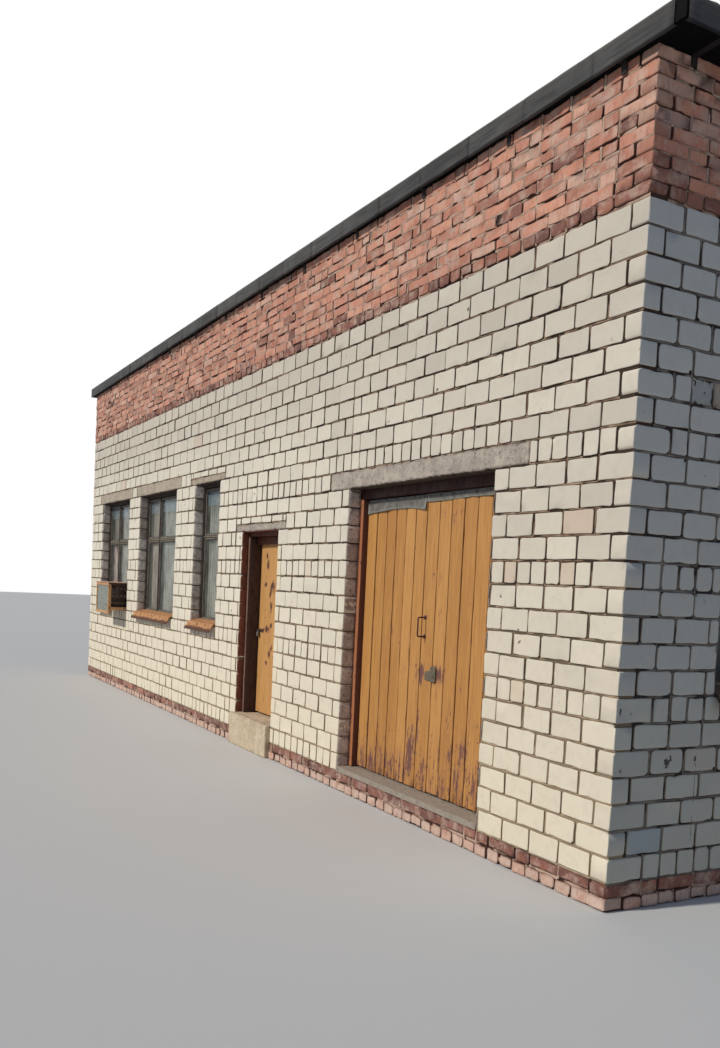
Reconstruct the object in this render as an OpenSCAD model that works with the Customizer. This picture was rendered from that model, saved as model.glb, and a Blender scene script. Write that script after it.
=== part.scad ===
/* [Masonry] */
// Length of one stretcher brick with its joint
brick_pitch = 262; // [240:1:280]
// Height of one course of the big pale bricks with its bed joint
course = 144; // [130:1:150]
// Height of one course of the small red bricks with its bed joint
red_course = 76; // [70:1:80]
// Length of the front in stretcher bricks
length_bricks = 46; // [44:1:56]
// Depth of the building in stretcher bricks
depth_bricks = 23; // [20:1:28]
// Courses of pale brick above the plinth
pale_courses = 25; // [23:1:28]
// Courses of red brick above the pale ones
red_courses = 10; // [6:1:14]
// Courses of red brick in the plinth
plinth_courses = 2; // [2:1:6]
// Thickness of the outer walls
wall_t = 380; // [320:5:510]

/* [Gate] */
// Distance from the near corner to the gate opening
gate_at = 1196; // [1000:1:1300]
// Width of the gate opening
gate_w = 1961; // [1600:1:2250]
// Courses from the plinth up to the gate lintel
gate_courses = 16; // [14:1:17]
// Height of the gate's sill above the plinth
gate_sill_h = 40; // [20:1:80]
// How far the gate's frame lies behind the wall face
gate_recess = 112; // [80:1:140]
// Depth of the gate's frame
gate_frame_d = 110; // [90:1:140]
// Width of the gate's frame posts
gate_post_w = 58; // [45:1:80]
// Height of the gate's frame head
gate_head_h = 78; // [60:1:110]
// How far the leaves meet from the middle of the opening, towards the far side
meeting_shift = 36; // [0:1:60]
// Thickness of the gate's boards
gate_board_t = 28; // [20:1:35]
// Thickness of the ledges and braces behind the boards
gate_ledge_t = 35; // [25:1:45]

/* [Door] */
// Distance from the near corner to the door opening
door_at = 4543; // [4300:1:4800]
// Width of the door opening
door_w = 919; // [760:1:1100]
// Courses from the plinth up to the door lintel
door_courses = 14; // [13:1:16]
// Height of the door step above the plinth
step_h = 165; // [100:1:220]
// How far the step stands out of the wall face
step_out = 45; // [20:1:120]
// How far the door's lining lies behind the wall face
door_recess = 75; // [50:1:100]
// Depth of the door's lining
door_lining_d = 170; // [140:1:200]
// Thickness of the door's lining
door_lining_t = 45; // [35:1:60]
// Thickness of the door's leaf
door_leaf_t = 40; // [30:1:50]

/* [Windows] */
// Courses from the plinth up to the window sills
sill_courses = 7; // [6:1:8]
// Courses that a window is high
window_courses = 11; // [9:1:12]
// Distance from the near corner to the narrow front window
narrow_at = 6169; // [6000:1:6300]
// Width of the narrow front window
narrow_w = 828; // [650:1:900]
// Distance from the near corner to the middle front window
middle_at = 7676; // [7500:1:7800]
// Width of the middle front window
middle_w = 1626; // [1350:1:1700]
// Distance from the near corner to the far front window
far_at = 9852; // [9700:1:9950]
// Width of the far front window and of the end and back windows
far_w = 1530; // [1250:1:1700]
// Distance from the near corner to the first window of the end wall
end_at = 728; // [650:1:760]
// How far a window's frame lies behind the wall face
window_recess = 115; // [90:1:150]
// Depth of a window's frame
frame_d = 58; // [45:1:80]
// Width of a window frame's bars
frame_w = 62; // [45:1:80]
// Drop from a window's head to the middle of its cross bar
cross_bar_drop = 590; // [480:1:720]
// Distance from a window's far side to the middle of its upright bar
upright_at = 575; // [480:1:680]
// Thickness of the glass
glass_t = 4; // [3:1:8]

/* [Lintels] */
// Height of the door lintel and of the narrow window's lintel
thin_lintel_h = 72; // [60:1:90]
// How far the gate lintel bears on the wall at each side
gate_bearing = 335; // [150:1:420]
// How far the other lintels bear on the wall at each side
bearing = 165; // [100:1:185]

/* [Roof] */
// Thickness of the roof's concrete planks
plank_t = 220; // [160:1:260]
// Width of one roof plank
plank_w = 1190; // [990:1:1490]
// How far the roof planks bear on the walls
plank_bearing = 240; // [120:1:250]
// Thickness of the screed above the planks
screed_t = 105; // [70:1:160]
// Thickness of the roofing felt
felt_t = 12; // [6:1:20]
// Eave overhang at the front and the back
eave = 60; // [40:1:200]
// Eave overhang at the near end
near_eave = 225; // [150:1:300]
// Eave overhang at the far end
far_eave = 130; // [80:1:300]
// Height of the sheet metal fascia
fascia_h = 128; // [100:1:180]
// Thickness of the fascia
fascia_t = 8; // [4:1:12]
// Distance between the eave straps
strap_pitch = 990; // [800:1:1200]

/* [Cage on the far window] */
// Width of the timber cage
cage_w = 720; // [600:1:900]
// Height of the timber cage
cage_h = 442; // [350:1:540]
// How far the cage stands out of the wall face
cage_out = 250; // [180:1:320]
// Thickness of the cage's timber
cage_bar = 38; // [28:1:50]

/* [Hidden] */
$fn = 48;

overall_l = length_bricks * brick_pitch;
overall_d = depth_bricks * brick_pitch;
face = -overall_d / 2;
near = overall_l / 2;
plinth_h = plinth_courses * red_course;
pale_top = plinth_h + pale_courses * course;
wall_top = pale_top + red_courses * red_course;
inner_l = overall_l - 2 * wall_t;
inner_d = overall_d - 2 * wall_t;

gate_top = plinth_h + gate_courses * course;
gate_sill = plinth_h + gate_sill_h;
door_top = plinth_h + door_courses * course;
step_top = plinth_h + step_h;
floor_top = gate_sill;
sill_z = plinth_h + sill_courses * course;
head_z = sill_z + window_courses * course;

// Running gap between a leaf and what it closes against
leaf_gap = 6;
// Gap under a leaf
leaf_foot = 16;
// Hinge pins, knuckles and the play between them
pin_r = 6;
pin_play = 0.3;
knuckle_r = 10;
knuckle_h = 60;
axis_back = 15;

eave_top = wall_top + screed_t + felt_t;
fascia_foot = eave_top - fascia_h;

function from_near(d) = near - d;

module block(x0, x1, y0, y1, z0, z1) {
    translate([x0, y0, z0]) cube([x1 - x0, y1 - y0, z1 - z0]);
}

// A front stretch between two distances from the near corner
module front_block(d0, d1, z0, z1, y0 = 0, y1 = wall_t) {
    block(from_near(d1), from_near(d0), face + y0, face + y1, z0, z1);
}

// Moves what is drawn for a front window to an end or the back:
// x is then the distance along that wall, y goes into the wall
module at_front(d) { translate([from_near(d), face, 0]) children(); }
module at_near_end(d) { translate([near, face + d, 0]) rotate(90) children(); }
module at_back(d) { translate([-near + d, -face, 0]) rotate(180) children(); }

// Windows as [distance of the edge nearer x = 0, width]
front_windows = [[narrow_at, narrow_w], [middle_at, middle_w], [far_at, far_w]];
end_windows = [end_at, overall_d - end_at - far_w];
back_gap = (inner_l - 3 * far_w) / 4;
back_windows = [for (i = [0:2]) wall_t + back_gap + i * (back_gap + far_w)];

// Openings are drawn from x = -w to x = 0, seen from outside
module window_hole(w) {
    translate([-w, -1, sill_z]) cube([w, wall_t + 2, head_z - sill_z]);
}

module lintel(w, h, bears, base_z) {
    translate([-w - bears, 0, base_z]) cube([w + 2 * bears, wall_t, h]);
}

module lintel_pocket(w, h, bears, base_z) {
    translate([-w - bears, -1, base_z]) cube([w + 2 * bears, wall_t + 2, h]);
}

module gate_lintel_place() { at_front(gate_at) children(); }
module door_lintel_place() { at_front(door_at) children(); }

// A window too narrow for an upright also has the thin lintel
upright_from = 1000;
function is_narrow(w) = w < upright_from;
function window_lintel_h(w) = is_narrow(w) ? thin_lintel_h : course;

module front_window_pockets() {
    for (win = front_windows) at_front(win[0]) {
        window_hole(win[1]);
        lintel_pocket(win[1], window_lintel_h(win[1]), bearing, head_z);
    }
}

module plinth() {
    color("rosybrown") difference() {
        block(-near, near, face, -face, 0, plinth_h);
        block(-near + wall_t, near - wall_t, face + wall_t, -face - wall_t, -1, plinth_h + 1);
    }
}

// Floor on the ground inside the plinth, with its tongue through the gateway
module floor_slab() {
    color("gray") {
        block(-near + wall_t, near - wall_t, face + wall_t, -face - wall_t, 0, floor_top);
        front_block(gate_at, gate_at + gate_w, plinth_h, floor_top);
    }
}

// Cast step that fills the foot of the doorway and stands out in front of it
module door_step() {
    wing = 38;
    color("darkgray") {
        front_block(door_at, door_at + door_w, plinth_h, step_top);
        front_block(door_at, door_at + door_w + wing, 0, step_top, -step_out, 0);
    }
}

module front_wall_far() {
    color("ivory") difference() {
        front_block(door_at + door_w, overall_l, plinth_h, pale_top);
        front_window_pockets();
        door_lintel_place() lintel_pocket(door_w, thin_lintel_h, bearing, door_top);
    }
}

module front_pier_middle() {
    color("ivory") difference() {
        front_block(gate_at + gate_w, door_at, plinth_h, pale_top);
        door_lintel_place() lintel_pocket(door_w, thin_lintel_h, bearing, door_top);
        gate_lintel_place() lintel_pocket(gate_w, course, gate_bearing, gate_top);
    }
}

module front_pier_near() {
    color("ivory") difference() {
        front_block(0, gate_at, plinth_h, pale_top);
        gate_lintel_place() lintel_pocket(gate_w, course, gate_bearing, gate_top);
    }
}

module front_wall_over_door() {
    color("ivory") front_block(door_at, door_at + door_w, door_top + thin_lintel_h, pale_top);
}

module front_wall_over_gate() {
    color("ivory") front_block(gate_at, gate_at + gate_w, gate_top + course, pale_top);
}

module near_end_wall() {
    color("gainsboro") difference() {
        block(near - wall_t, near, face + wall_t, -face - wall_t, plinth_h, pale_top);
        for (d = end_windows) at_near_end(d + far_w) {
            window_hole(far_w);
            lintel_pocket(far_w, course, bearing, head_z);
        }
    }
}

module far_end_wall() {
    color("ivory") block(-near, -near + wall_t, face + wall_t, -face - wall_t, plinth_h, pale_top);
}

module back_wall() {
    color("ivory") difference() {
        block(-near, near, -face - wall_t, -face, plinth_h, pale_top);
        for (d = back_windows) at_back(d) {
            window_hole(far_w);
            lintel_pocket(far_w, course, bearing, head_z);
        }
    }
}

// Long red walls are rebated inside to take the ends of the roof planks
module red_long_wall() {
    seat = wall_top - plank_t;
    rotate([90, 0, 90]) linear_extrude(overall_l, center = true) polygon([
        [face, pale_top], [face + wall_t, pale_top], [face + wall_t, seat],
        [face + wall_t - plank_bearing, seat], [face + wall_t - plank_bearing, wall_top],
        [face, wall_top]
    ]);
}

module red_wall_front() { color("salmon") red_long_wall(); }
module red_wall_back() { color("salmon") mirror([0, 1, 0]) red_long_wall(); }

module red_end_wall(x0) {
    block(x0, x0 + wall_t, face + wall_t, -face - wall_t, pale_top, wall_top - plank_t);
    block(x0, x0 + wall_t, face + wall_t - plank_bearing, -face - wall_t + plank_bearing,
          wall_top - plank_t, wall_top);
}

module red_walls_end() {
    color("salmon") {
        red_end_wall(near - wall_t);
        red_end_wall(-near);
    }
}

// Concrete planks side by side, with chamfered lower edges that show as joints in the ceiling
module roof_planks() {
    joint = 10;
    chamfer = 15;
    count = floor(inner_l / (plank_w + joint));
    strip = inner_l - count * (plank_w + joint);
    span = inner_d + 2 * plank_bearing;
    color("silver") for (i = [0:count]) {
        w = i < count ? plank_w : strip;
        translate([-inner_l / 2 + i * (plank_w + joint), span / 2, wall_top - plank_t])
            rotate([90, 0, 0]) linear_extrude(span) polygon([
                [chamfer, 0], [w - chamfer, 0], [w, chamfer], [w, plank_t], [0, plank_t], [0, chamfer]
            ]);
    }
}

module roof_layer(z0, z1, inset) {
    block(-near - far_eave + inset, near + near_eave - inset,
          face - eave + inset, -face + eave - inset, z0, z1);
}

module roof_screed() { color("dimgray") roof_layer(wall_top, wall_top + screed_t, fascia_t); }

// Surplus felt folded over on itself along the near end's edge
fold_w = 120;
fold_h = 34;
fold_l = 1150;

module felt_fold() {
    translate([near + near_eave - fascia_t, face - eave + fascia_t + fold_l, eave_top])
        rotate([90, 0, 0]) linear_extrude(fold_l) polygon([
            [0, -felt_t / 2], [0, 0.35 * fold_h], [-0.12 * fold_w, 0.8 * fold_h],
            [-0.32 * fold_w, fold_h], [-0.62 * fold_w, 0.9 * fold_h], [-0.88 * fold_w, 0.5 * fold_h],
            [-fold_w, -felt_t / 2]
        ]);
}

module roof_felt() {
    color("darkslategray") {
        roof_layer(wall_top + screed_t, eave_top, fascia_t);
        felt_fold();
    }
}

// Width of the lip turned in at the foot of the fascia
lip = 22;

// Folded sheet along one edge: an upright face with a drip lip turned in at its foot
module fascia_strip(l) {
    translate([0, 0, fascia_foot]) rotate([90, 0, 90]) linear_extrude(l) polygon([
        [0, 0], [lip, 0], [lip, fascia_t / 2], [fascia_t, fascia_t / 2],
        [fascia_t, fascia_h], [0, fascia_h]
    ]);
}

// The front sheet stops short of the near corner, where its last piece is gone
front_sheet_out = 145;
corner_gap = near_eave - front_sheet_out;

module fascia_front() {
    color("dimgray") translate([-near - far_eave, face - eave, 0])
        fascia_strip(overall_l + far_eave + near_eave - corner_gap);
}
module fascia_back() {
    color("dimgray") rotate(180) translate([-near - near_eave, face - eave, 0])
        fascia_strip(overall_l + far_eave + near_eave);
}
module fascia_ends() {
    // The end sheets stop against the long sheets' lips
    l = overall_d + 2 * eave - 2 * lip;
    color("dimgray") {
        translate([near + near_eave, face - eave + lip, 0]) rotate(90) fascia_strip(l);
        translate([-near - far_eave, -face + eave - lip, 0]) rotate(-90) fascia_strip(l);
    }
}

// Flat bars that hold the drip edge: down the wall, then out under the eave
module eave_strap(out) {
    bar_t = 6;
    bar_w = 40;
    leg = 62;
    rotate([90, 0, 90]) linear_extrude(bar_w, center = true) polygon([
        [0, wall_top], [-out + fascia_t, wall_top], [-out + fascia_t, wall_top - bar_t],
        [-bar_t, wall_top - bar_t], [-bar_t, wall_top - leg], [0, wall_top - leg]
    ]);
}

// Distance from a corner to its first strap
first_strap = 245;

module eave_straps() {
    first = first_strap;
    long_count = floor((overall_l - 2 * first) / strap_pitch);
    end_count = floor((overall_d - 2 * first) / strap_pitch);
    color("black") {
        for (i = [0:long_count]) {
            translate([from_near(first + i * strap_pitch), face, 0]) eave_strap(eave);
            translate([from_near(first + i * strap_pitch), -face, 0]) rotate(180) eave_strap(eave);
        }
        for (i = [0:end_count]) {
            translate([near, face + first + i * strap_pitch, 0]) rotate(90) eave_strap(near_eave);
            translate([-near, face + first + i * strap_pitch, 0]) rotate(-90) eave_strap(far_eave);
        }
    }
}

module gate_lintel() {
    color("silver") gate_lintel_place() lintel(gate_w, course, gate_bearing, gate_top);
}
module door_lintel() {
    color("silver") door_lintel_place() lintel(door_w, thin_lintel_h, bearing, door_top);
}
module window_lintels() {
    color("silver") {
        for (win = front_windows) at_front(win[0])
            lintel(win[1], window_lintel_h(win[1]), bearing, head_z);
        for (d = end_windows) at_near_end(d + far_w) lintel(far_w, course, bearing, head_z);
        for (d = back_windows) at_back(d) lintel(far_w, course, bearing, head_z);
    }
}

// Panes of a window as [x0, x1, z0, z1]: one column in a narrow window, two in a wide one
function columns(w) = is_narrow(w)
    ? [[-w + frame_w, -frame_w]]
    : [[-w + frame_w, -w + upright_at - frame_w / 2], [-w + upright_at + frame_w / 2, -frame_w]];
function rows() = [
    [sill_z + frame_w, head_z - cross_bar_drop - frame_w / 2],
    [head_z - cross_bar_drop + frame_w / 2, head_z - frame_w]
];

module window_frame(w) {
    difference() {
        translate([-w, window_recess, sill_z]) cube([w, frame_d, head_z - sill_z]);
        for (c = columns(w), r = rows())
            translate([c[0], window_recess - 1, r[0]]) cube([c[1] - c[0], frame_d + 2, r[1] - r[0]]);
    }
}

module panes(w) {
    for (c = columns(w), r = rows())
        translate([c[0], window_recess + (frame_d - glass_t) / 2, r[0]])
            cube([c[1] - c[0], glass_t, r[1] - r[0]]);
}

module frame_narrow() { color("rosybrown") at_front(narrow_at) window_frame(narrow_w); }
module frame_middle() { color("rosybrown") at_front(middle_at) window_frame(middle_w); }
module frame_far() { color("rosybrown") at_front(far_at) window_frame(far_w); }
module frames_end() {
    color("rosybrown") for (d = end_windows) at_near_end(d + far_w) window_frame(far_w);
}
module frames_back() { color("rosybrown") for (d = back_windows) at_back(d) window_frame(far_w); }

module window_glass() {
    color("lightblue", 0.4) {
        for (win = front_windows) at_front(win[0]) panes(win[1]);
        for (d = end_windows) at_near_end(d + far_w) panes(far_w);
        for (d = back_windows) at_back(d) panes(far_w);
    }
}

// Bent sill: it falls gently over the masonry, then steeply in front of it
sill_t = 12;
sill_rise = 46;
sill_nose = 22;
sill_reach = 76;
sill_drop = 74;

module sill(x0, x1) {
    inner = window_recess;
    fall = sill_rise - 32;
    translate([x0, 0, sill_z]) rotate([90, 0, 90]) linear_extrude(x1 - x0) polygon([
        [inner, sill_rise], [-sill_nose, fall], [-sill_reach, -sill_drop],
        [-sill_reach + sill_t - 2, -sill_drop - 4], [-sill_nose + 8, fall - sill_t],
        [inner, sill_rise - sill_t]
    ]);
}

// The far window's sill ends at the cage, and the middle one has lost its near end
module window_sills() {
    broken = 55;
    color("peru") {
        at_front(narrow_at) sill(-narrow_w, 0);
        at_front(middle_at) sill(-middle_w, -broken);
        at_front(far_at) sill(-far_w, -cage_w - cage_bar);
        for (d = end_windows) at_near_end(d + far_w) sill(-far_w, 0);
        for (d = back_windows) at_back(d) sill(-far_w, 0);
    }
}

// Curtains hung close behind the front windows' frames
module window_curtains() {
    play = 0.3;
    curtain_t = 30;
    color("lightgray") for (win = front_windows) at_front(win[0])
        translate([-win[1] + 20, window_recess + frame_d + play, sill_z + 30])
            cube([win[1] - 40, curtain_t, head_z - sill_z - 60]);
}

// Timber cage in the near half of the far window: it stands on the masonry of the sill,
// and its front hangs a little below it
cage_side = 10;
cage_hang = 58;
cage_x0 = -cage_w - cage_side;
cage_x1 = -cage_side;
cage_top = sill_z - cage_hang + cage_h;

module cage_bars(y, z0) {
    for (x = [cage_x0, cage_x1 - cage_bar])
        translate([x, y, z0]) cube([cage_bar, cage_bar, cage_top - z0]);
    for (z = [z0, cage_top - cage_bar])
        translate([cage_x0, y, z]) cube([cage_w, cage_bar, cage_bar]);
}

module cage_frame() {
    back_y = window_recess - cage_bar;
    color("peru") at_front(far_at) {
        cage_bars(-cage_out, cage_top - cage_h);
        cage_bars(back_y, sill_z);
        for (x = [cage_x0, cage_x1 - cage_bar], z = [sill_z, cage_top - cage_bar])
            translate([x, -cage_out, z]) cube([cage_bar, cage_out + window_recess, cage_bar]);
    }
}

module cage_panels() {
    sheet_t = 8;
    set_back = 10;
    over_side = 6;
    over_front = 14;
    color("lightsteelblue") at_front(far_at) {
        translate([cage_x0 + cage_bar, -cage_out + set_back, cage_top - cage_h + cage_bar])
            cube([cage_w - 2 * cage_bar, sheet_t, cage_h - 2 * cage_bar]);
        translate([cage_x0 - over_side, -cage_out - over_front, cage_top])
            cube([cage_w + over_side, cage_out + over_front + window_recess, sheet_t]);
    }
}

// Welded lattice in the cage's near side
module cage_grille() {
    rod = 8;
    rods = 6;
    low = sill_z + cage_bar;
    high = cage_top - cage_bar;
    y0 = -cage_out + cage_bar;
    y1 = window_recess - cage_bar;
    color("saddlebrown") at_front(far_at) translate([cage_x1 - cage_bar / 2 - rod / 2, 0, 0]) {
        for (i = [0:rods - 1]) {
            translate([0, y0 + i * (y1 - y0 - rod) / (rods - 1), low]) cube([rod, rod, high - low]);
            translate([0, y0, low + i * (high - low - rod) / (rods - 1)]) cube([rod, y1 - y0, rod]);
        }
    }
}

// A hinge on an axis at the origin of its own plan, with the leaf towards -x:
// the pin and its lug stay on the frame, the knuckle and its strap go with the leaf
module hinge_pin(z, post_reach) {
    lug_t = 10;
    translate([0, 0, z - lug_t - 1]) {
        cylinder(r = pin_r, h = knuckle_h + lug_t);
        cylinder(r = knuckle_r, h = lug_t);
        translate([0, -axis_back, 0]) cube([post_reach, axis_back + knuckle_r, lug_t]);
    }
}

module hinge_knuckle(z, strap_l) {
    strap_t = 6;
    difference() {
        translate([0, 0, z]) {
            cylinder(r = knuckle_r, h = knuckle_h);
            translate([-strap_l, -axis_back, 8]) cube([strap_l - leaf_gap / 2, strap_t, knuckle_h - 16]);
            translate([-knuckle_r - 6, -axis_back, 8]) cube([9, axis_back + 6, knuckle_h - 16]);
        }
        translate([0, 0, z - 1]) cylinder(r = pin_r + pin_play, h = knuckle_h + 2);
    }
}

// Door: the lining stands back in the opening, and the leaf shuts near its inner edge
door_leaf_back = door_recess + door_lining_d;
door_leaf_front = door_leaf_back - door_leaf_t;
door_head = door_top - door_lining_t;
door_hinge_x = -door_lining_t - leaf_gap / 2;
door_leaf_w = door_w - 2 * door_lining_t - 2 * leaf_gap;
door_foot = step_top + leaf_foot;
door_hinges = [door_foot + 200, door_head - 300];

module at_door_axis() {
    at_front(door_at) translate([door_hinge_x, door_leaf_back + axis_back, 0]) children();
}

module door_lining() {
    color("saddlebrown") {
        at_front(door_at) {
            for (x = [-door_w, -door_lining_t]) translate([x, door_recess, step_top])
                cube([door_lining_t, door_lining_d, door_top - step_top]);
            translate([-door_w, door_recess, door_head]) cube([door_w, door_lining_d, door_lining_t]);
        }
        at_door_axis() for (z = door_hinges) hinge_pin(z, door_lining_t);
    }
}

module door_leaf() {
    color("peru") {
        at_front(door_at) translate([-door_w + door_lining_t + leaf_gap, door_leaf_front, door_foot])
            cube([door_leaf_w, door_leaf_t, door_head - leaf_gap - door_foot]);
        at_door_axis() for (z = door_hinges) hinge_knuckle(z, 160);
    }
}

// Hasp strap, staple and padlock on the free edge of the door
hasp_up = 1000;
hasp_l = 120;
hasp_h = 36;
lock_w = 40;
lock_h = 46;
lock_t = 18;
shackle_r = 14;
shackle_t = 8;

// The shackle bends round the staple and ends in the lock's body
module shackle() {
    difference() {
        union() {
            cylinder(r = shackle_r, h = shackle_t);
            translate([-shackle_r, -shackle_r, 0]) cube([2 * shackle_r, shackle_r, shackle_t]);
        }
        translate([0, 0, -1]) cylinder(r = shackle_r - shackle_t, h = shackle_t + 2);
        translate([-shackle_r + shackle_t, -shackle_r - 1, -1])
            cube([2 * (shackle_r - shackle_t), shackle_r + 1, shackle_t + 2]);
    }
}

module door_hasp() {
    strap_t = 4;
    staple_r = 5;
    staple_out = 22;
    z = plinth_h + hasp_up;
    x = -door_w + door_lining_t + leaf_gap + 8;
    staple_x = x + lock_w / 2 + 6;
    staple_z = z + hasp_h / 2;
    front = door_leaf_front - strap_t;
    // The lock hangs by its shackle, so it sits a little low on the staple
    hang_z = staple_z - 2.5;
    color("gray") at_front(door_at) {
        translate([x, front, z]) cube([hasp_l, strap_t, hasp_h]);
        translate([staple_x, front, staple_z]) rotate([90, 0, 0]) cylinder(r = staple_r, h = staple_out);
        translate([staple_x, front - staple_out + shackle_t, hang_z]) rotate([90, 0, 0]) shackle();
        translate([staple_x - lock_w / 2, front - staple_out + (shackle_t - lock_t) / 2,
                   hang_z - shackle_r - lock_h + 2])
            cube([lock_w, lock_t, lock_h]);
    }
}

// Gate: a frame with two ledged and braced leaves that open inwards
gate_leaf_back = gate_recess + gate_frame_d;
gate_ledge_front = gate_leaf_back - gate_ledge_t;
gate_leaf_front = gate_ledge_front - gate_board_t;
gate_head = gate_top - gate_head_h;
gate_foot = gate_sill + leaf_foot;
meeting_gap = 9;
meeting_x = -gate_w / 2 - meeting_shift;
right_leaf_w = -meeting_x - gate_post_w - leaf_gap - meeting_gap / 2;
left_leaf_w = gate_w + meeting_x - gate_post_w - leaf_gap - meeting_gap / 2;
leaf_top = gate_head - leaf_gap;
leaf_h = leaf_top - gate_foot;
gate_hinge_x = gate_post_w + leaf_gap / 2;
gate_hinges = [gate_foot + 220, gate_foot + leaf_h / 2, leaf_top - 280];

module gate_frame() {
    color("sienna") {
        at_front(gate_at) {
            for (x = [-gate_w, -gate_post_w]) translate([x, gate_recess, gate_sill])
                cube([gate_post_w, gate_frame_d, gate_top - gate_sill]);
            translate([-gate_w, gate_recess, gate_head]) cube([gate_w, gate_frame_d, gate_top - gate_head]);
        }
        at_right_axis() for (z = gate_hinges) hinge_pin(z, gate_post_w);
        at_left_axis() for (z = gate_hinges) hinge_pin(z, gate_post_w);
    }
}

module at_right_axis() {
    at_front(gate_at) translate([-gate_hinge_x, gate_leaf_back + axis_back, 0]) children();
}
module at_left_axis() {
    at_front(gate_at) translate([-gate_w + gate_hinge_x, gate_leaf_back + axis_back, 0])
        mirror([1, 0, 0]) children();
}

// One leaf, hinged at x = 0 with its free edge at x = -leaf_w: six boards with small grooves,
// three ledges and two braces behind them
module gate_leaf(leaf_w) {
    boards = 6;
    groove = 3;
    board_w = (leaf_w - (boards - 1) * groove) / boards;
    web = 6;
    ledge_h = 120;
    ledges = [gate_foot + 140, gate_foot + leaf_h / 2 - ledge_h / 2, leaf_top - 140 - ledge_h];
    difference() {
        translate([-leaf_w, gate_leaf_front, gate_foot]) cube([leaf_w, gate_board_t, leaf_h]);
        for (i = [1:boards - 1])
            translate([-leaf_w + i * (board_w + groove) - groove, gate_leaf_front - 1, gate_foot - 1])
                cube([groove, gate_board_t - web + 1, leaf_h + 2]);
    }
    for (z = ledges)
        translate([-leaf_w + 20, gate_ledge_front, z]) cube([leaf_w - 20, gate_ledge_t, ledge_h]);
    for (i = [0, 1]) brace(leaf_w, ledges[i] + ledge_h, ledges[i + 1], 110);
}

// A brace runs up from the hinge side to the free side between two ledges
module brace(leaf_w, z0, z1, w) {
    translate([0, gate_leaf_back, 0]) rotate([90, 0, 0]) linear_extrude(gate_ledge_t) polygon([
        [-60, z0], [-60 - w, z0], [-leaf_w + 40, z1], [-leaf_w + 40 + w, z1]
    ]);
}

module gate_leaf_right() {
    color("peru") {
        at_front(gate_at) translate([-gate_post_w - leaf_gap, 0, 0])
            gate_leaf(right_leaf_w);
        at_right_axis() for (z = gate_hinges) hinge_knuckle(z, 260);
    }
}

module gate_leaf_left() {
    color("peru") {
        at_front(gate_at) translate([-gate_w + gate_post_w + leaf_gap, 0, 0]) mirror([1, 0, 0])
            gate_leaf(left_leaf_w);
        at_left_axis() for (z = gate_hinges) hinge_knuckle(z, 260);
    }
}

// Sheet rubber flaps nailed across the top of each leaf, the left one lower and deeper
flap_t = 5;
flap_side = 2;
left_flap_h = 88;
left_flap_drop = 14;
right_flap_h = 54;

module gate_flap_left() {
    color("slategray") at_front(gate_at)
        translate([-gate_w + gate_post_w + leaf_gap + flap_side, gate_leaf_front - flap_t,
                   leaf_top - left_flap_drop - left_flap_h])
            cube([left_leaf_w - flap_side, flap_t, left_flap_h]);
}

module gate_flap_right() {
    color("slategray") at_front(gate_at)
        translate([meeting_x + meeting_gap / 2, gate_leaf_front - flap_t, leaf_top - right_flap_h])
            cube([right_leaf_w - flap_side, flap_t, right_flap_h]);
}

// Pull handle of bent rod near the free edge of the right leaf
handle_in = 50;
handle_up = 1180;

module gate_handle() {
    rod_r = 6;
    grip = 140;
    out = 62;
    x = meeting_x + handle_in;
    z = plinth_h + handle_up;
    color("saddlebrown") at_front(gate_at) translate([x, gate_leaf_front, z]) {
        for (dz = [0, grip]) translate([0, 0, dz]) {
            rotate([90, 0, 0]) cylinder(r = rod_r, h = out);
            rotate([90, 0, 0]) cylinder(r = 16, h = 4);
        }
        translate([0, -out, -rod_r]) cylinder(r = rod_r, h = grip + 2 * rod_r);
    }
}

// Rusty lock case on the face of the right leaf, with a round cover over its keyhole
case_in = 165;
case_up = 860;
case_w = 70;
case_h = 110;
case_t = 12;

module gate_lock() {
    color("brown") at_front(gate_at) translate([meeting_x + case_in, gate_leaf_front, plinth_h + case_up]) {
        translate([0, -case_t, 0]) cube([case_w, case_t, case_h]);
        translate([case_w / 2, -case_t, 0.4 * case_h]) rotate([90, 0, 0]) cylinder(r = 14, h = 3);
    }
}

plinth();
floor_slab();
door_step();
front_wall_far();
front_pier_middle();
front_pier_near();
front_wall_over_door();
front_wall_over_gate();
near_end_wall();
far_end_wall();
back_wall();
red_wall_front();
red_wall_back();
red_walls_end();
roof_planks();
roof_screed();
roof_felt();
fascia_front();
fascia_back();
fascia_ends();
eave_straps();
gate_lintel();
door_lintel();
window_lintels();
frame_narrow();
frame_middle();
frame_far();
frames_end();
frames_back();
window_glass();
window_sills();
window_curtains();
cage_frame();
cage_panels();
cage_grille();
door_lining();
door_leaf();
door_hasp();
gate_frame();
gate_leaf_left();
gate_leaf_right();
gate_flap_left();
gate_flap_right();
gate_handle();
gate_lock();
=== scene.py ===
# %% [markdown]
# # A small railway station building in Blender
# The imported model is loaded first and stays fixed: it says where each wall, opening, lintel and hinge is.
# Everything below gives those pieces the surface of the real ones. Walls become single bricks in mortar,
# plain panels become boards, and every finish is a node material.

# %% Load the fixed frame and note its box
import math
from functools import partial

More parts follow.
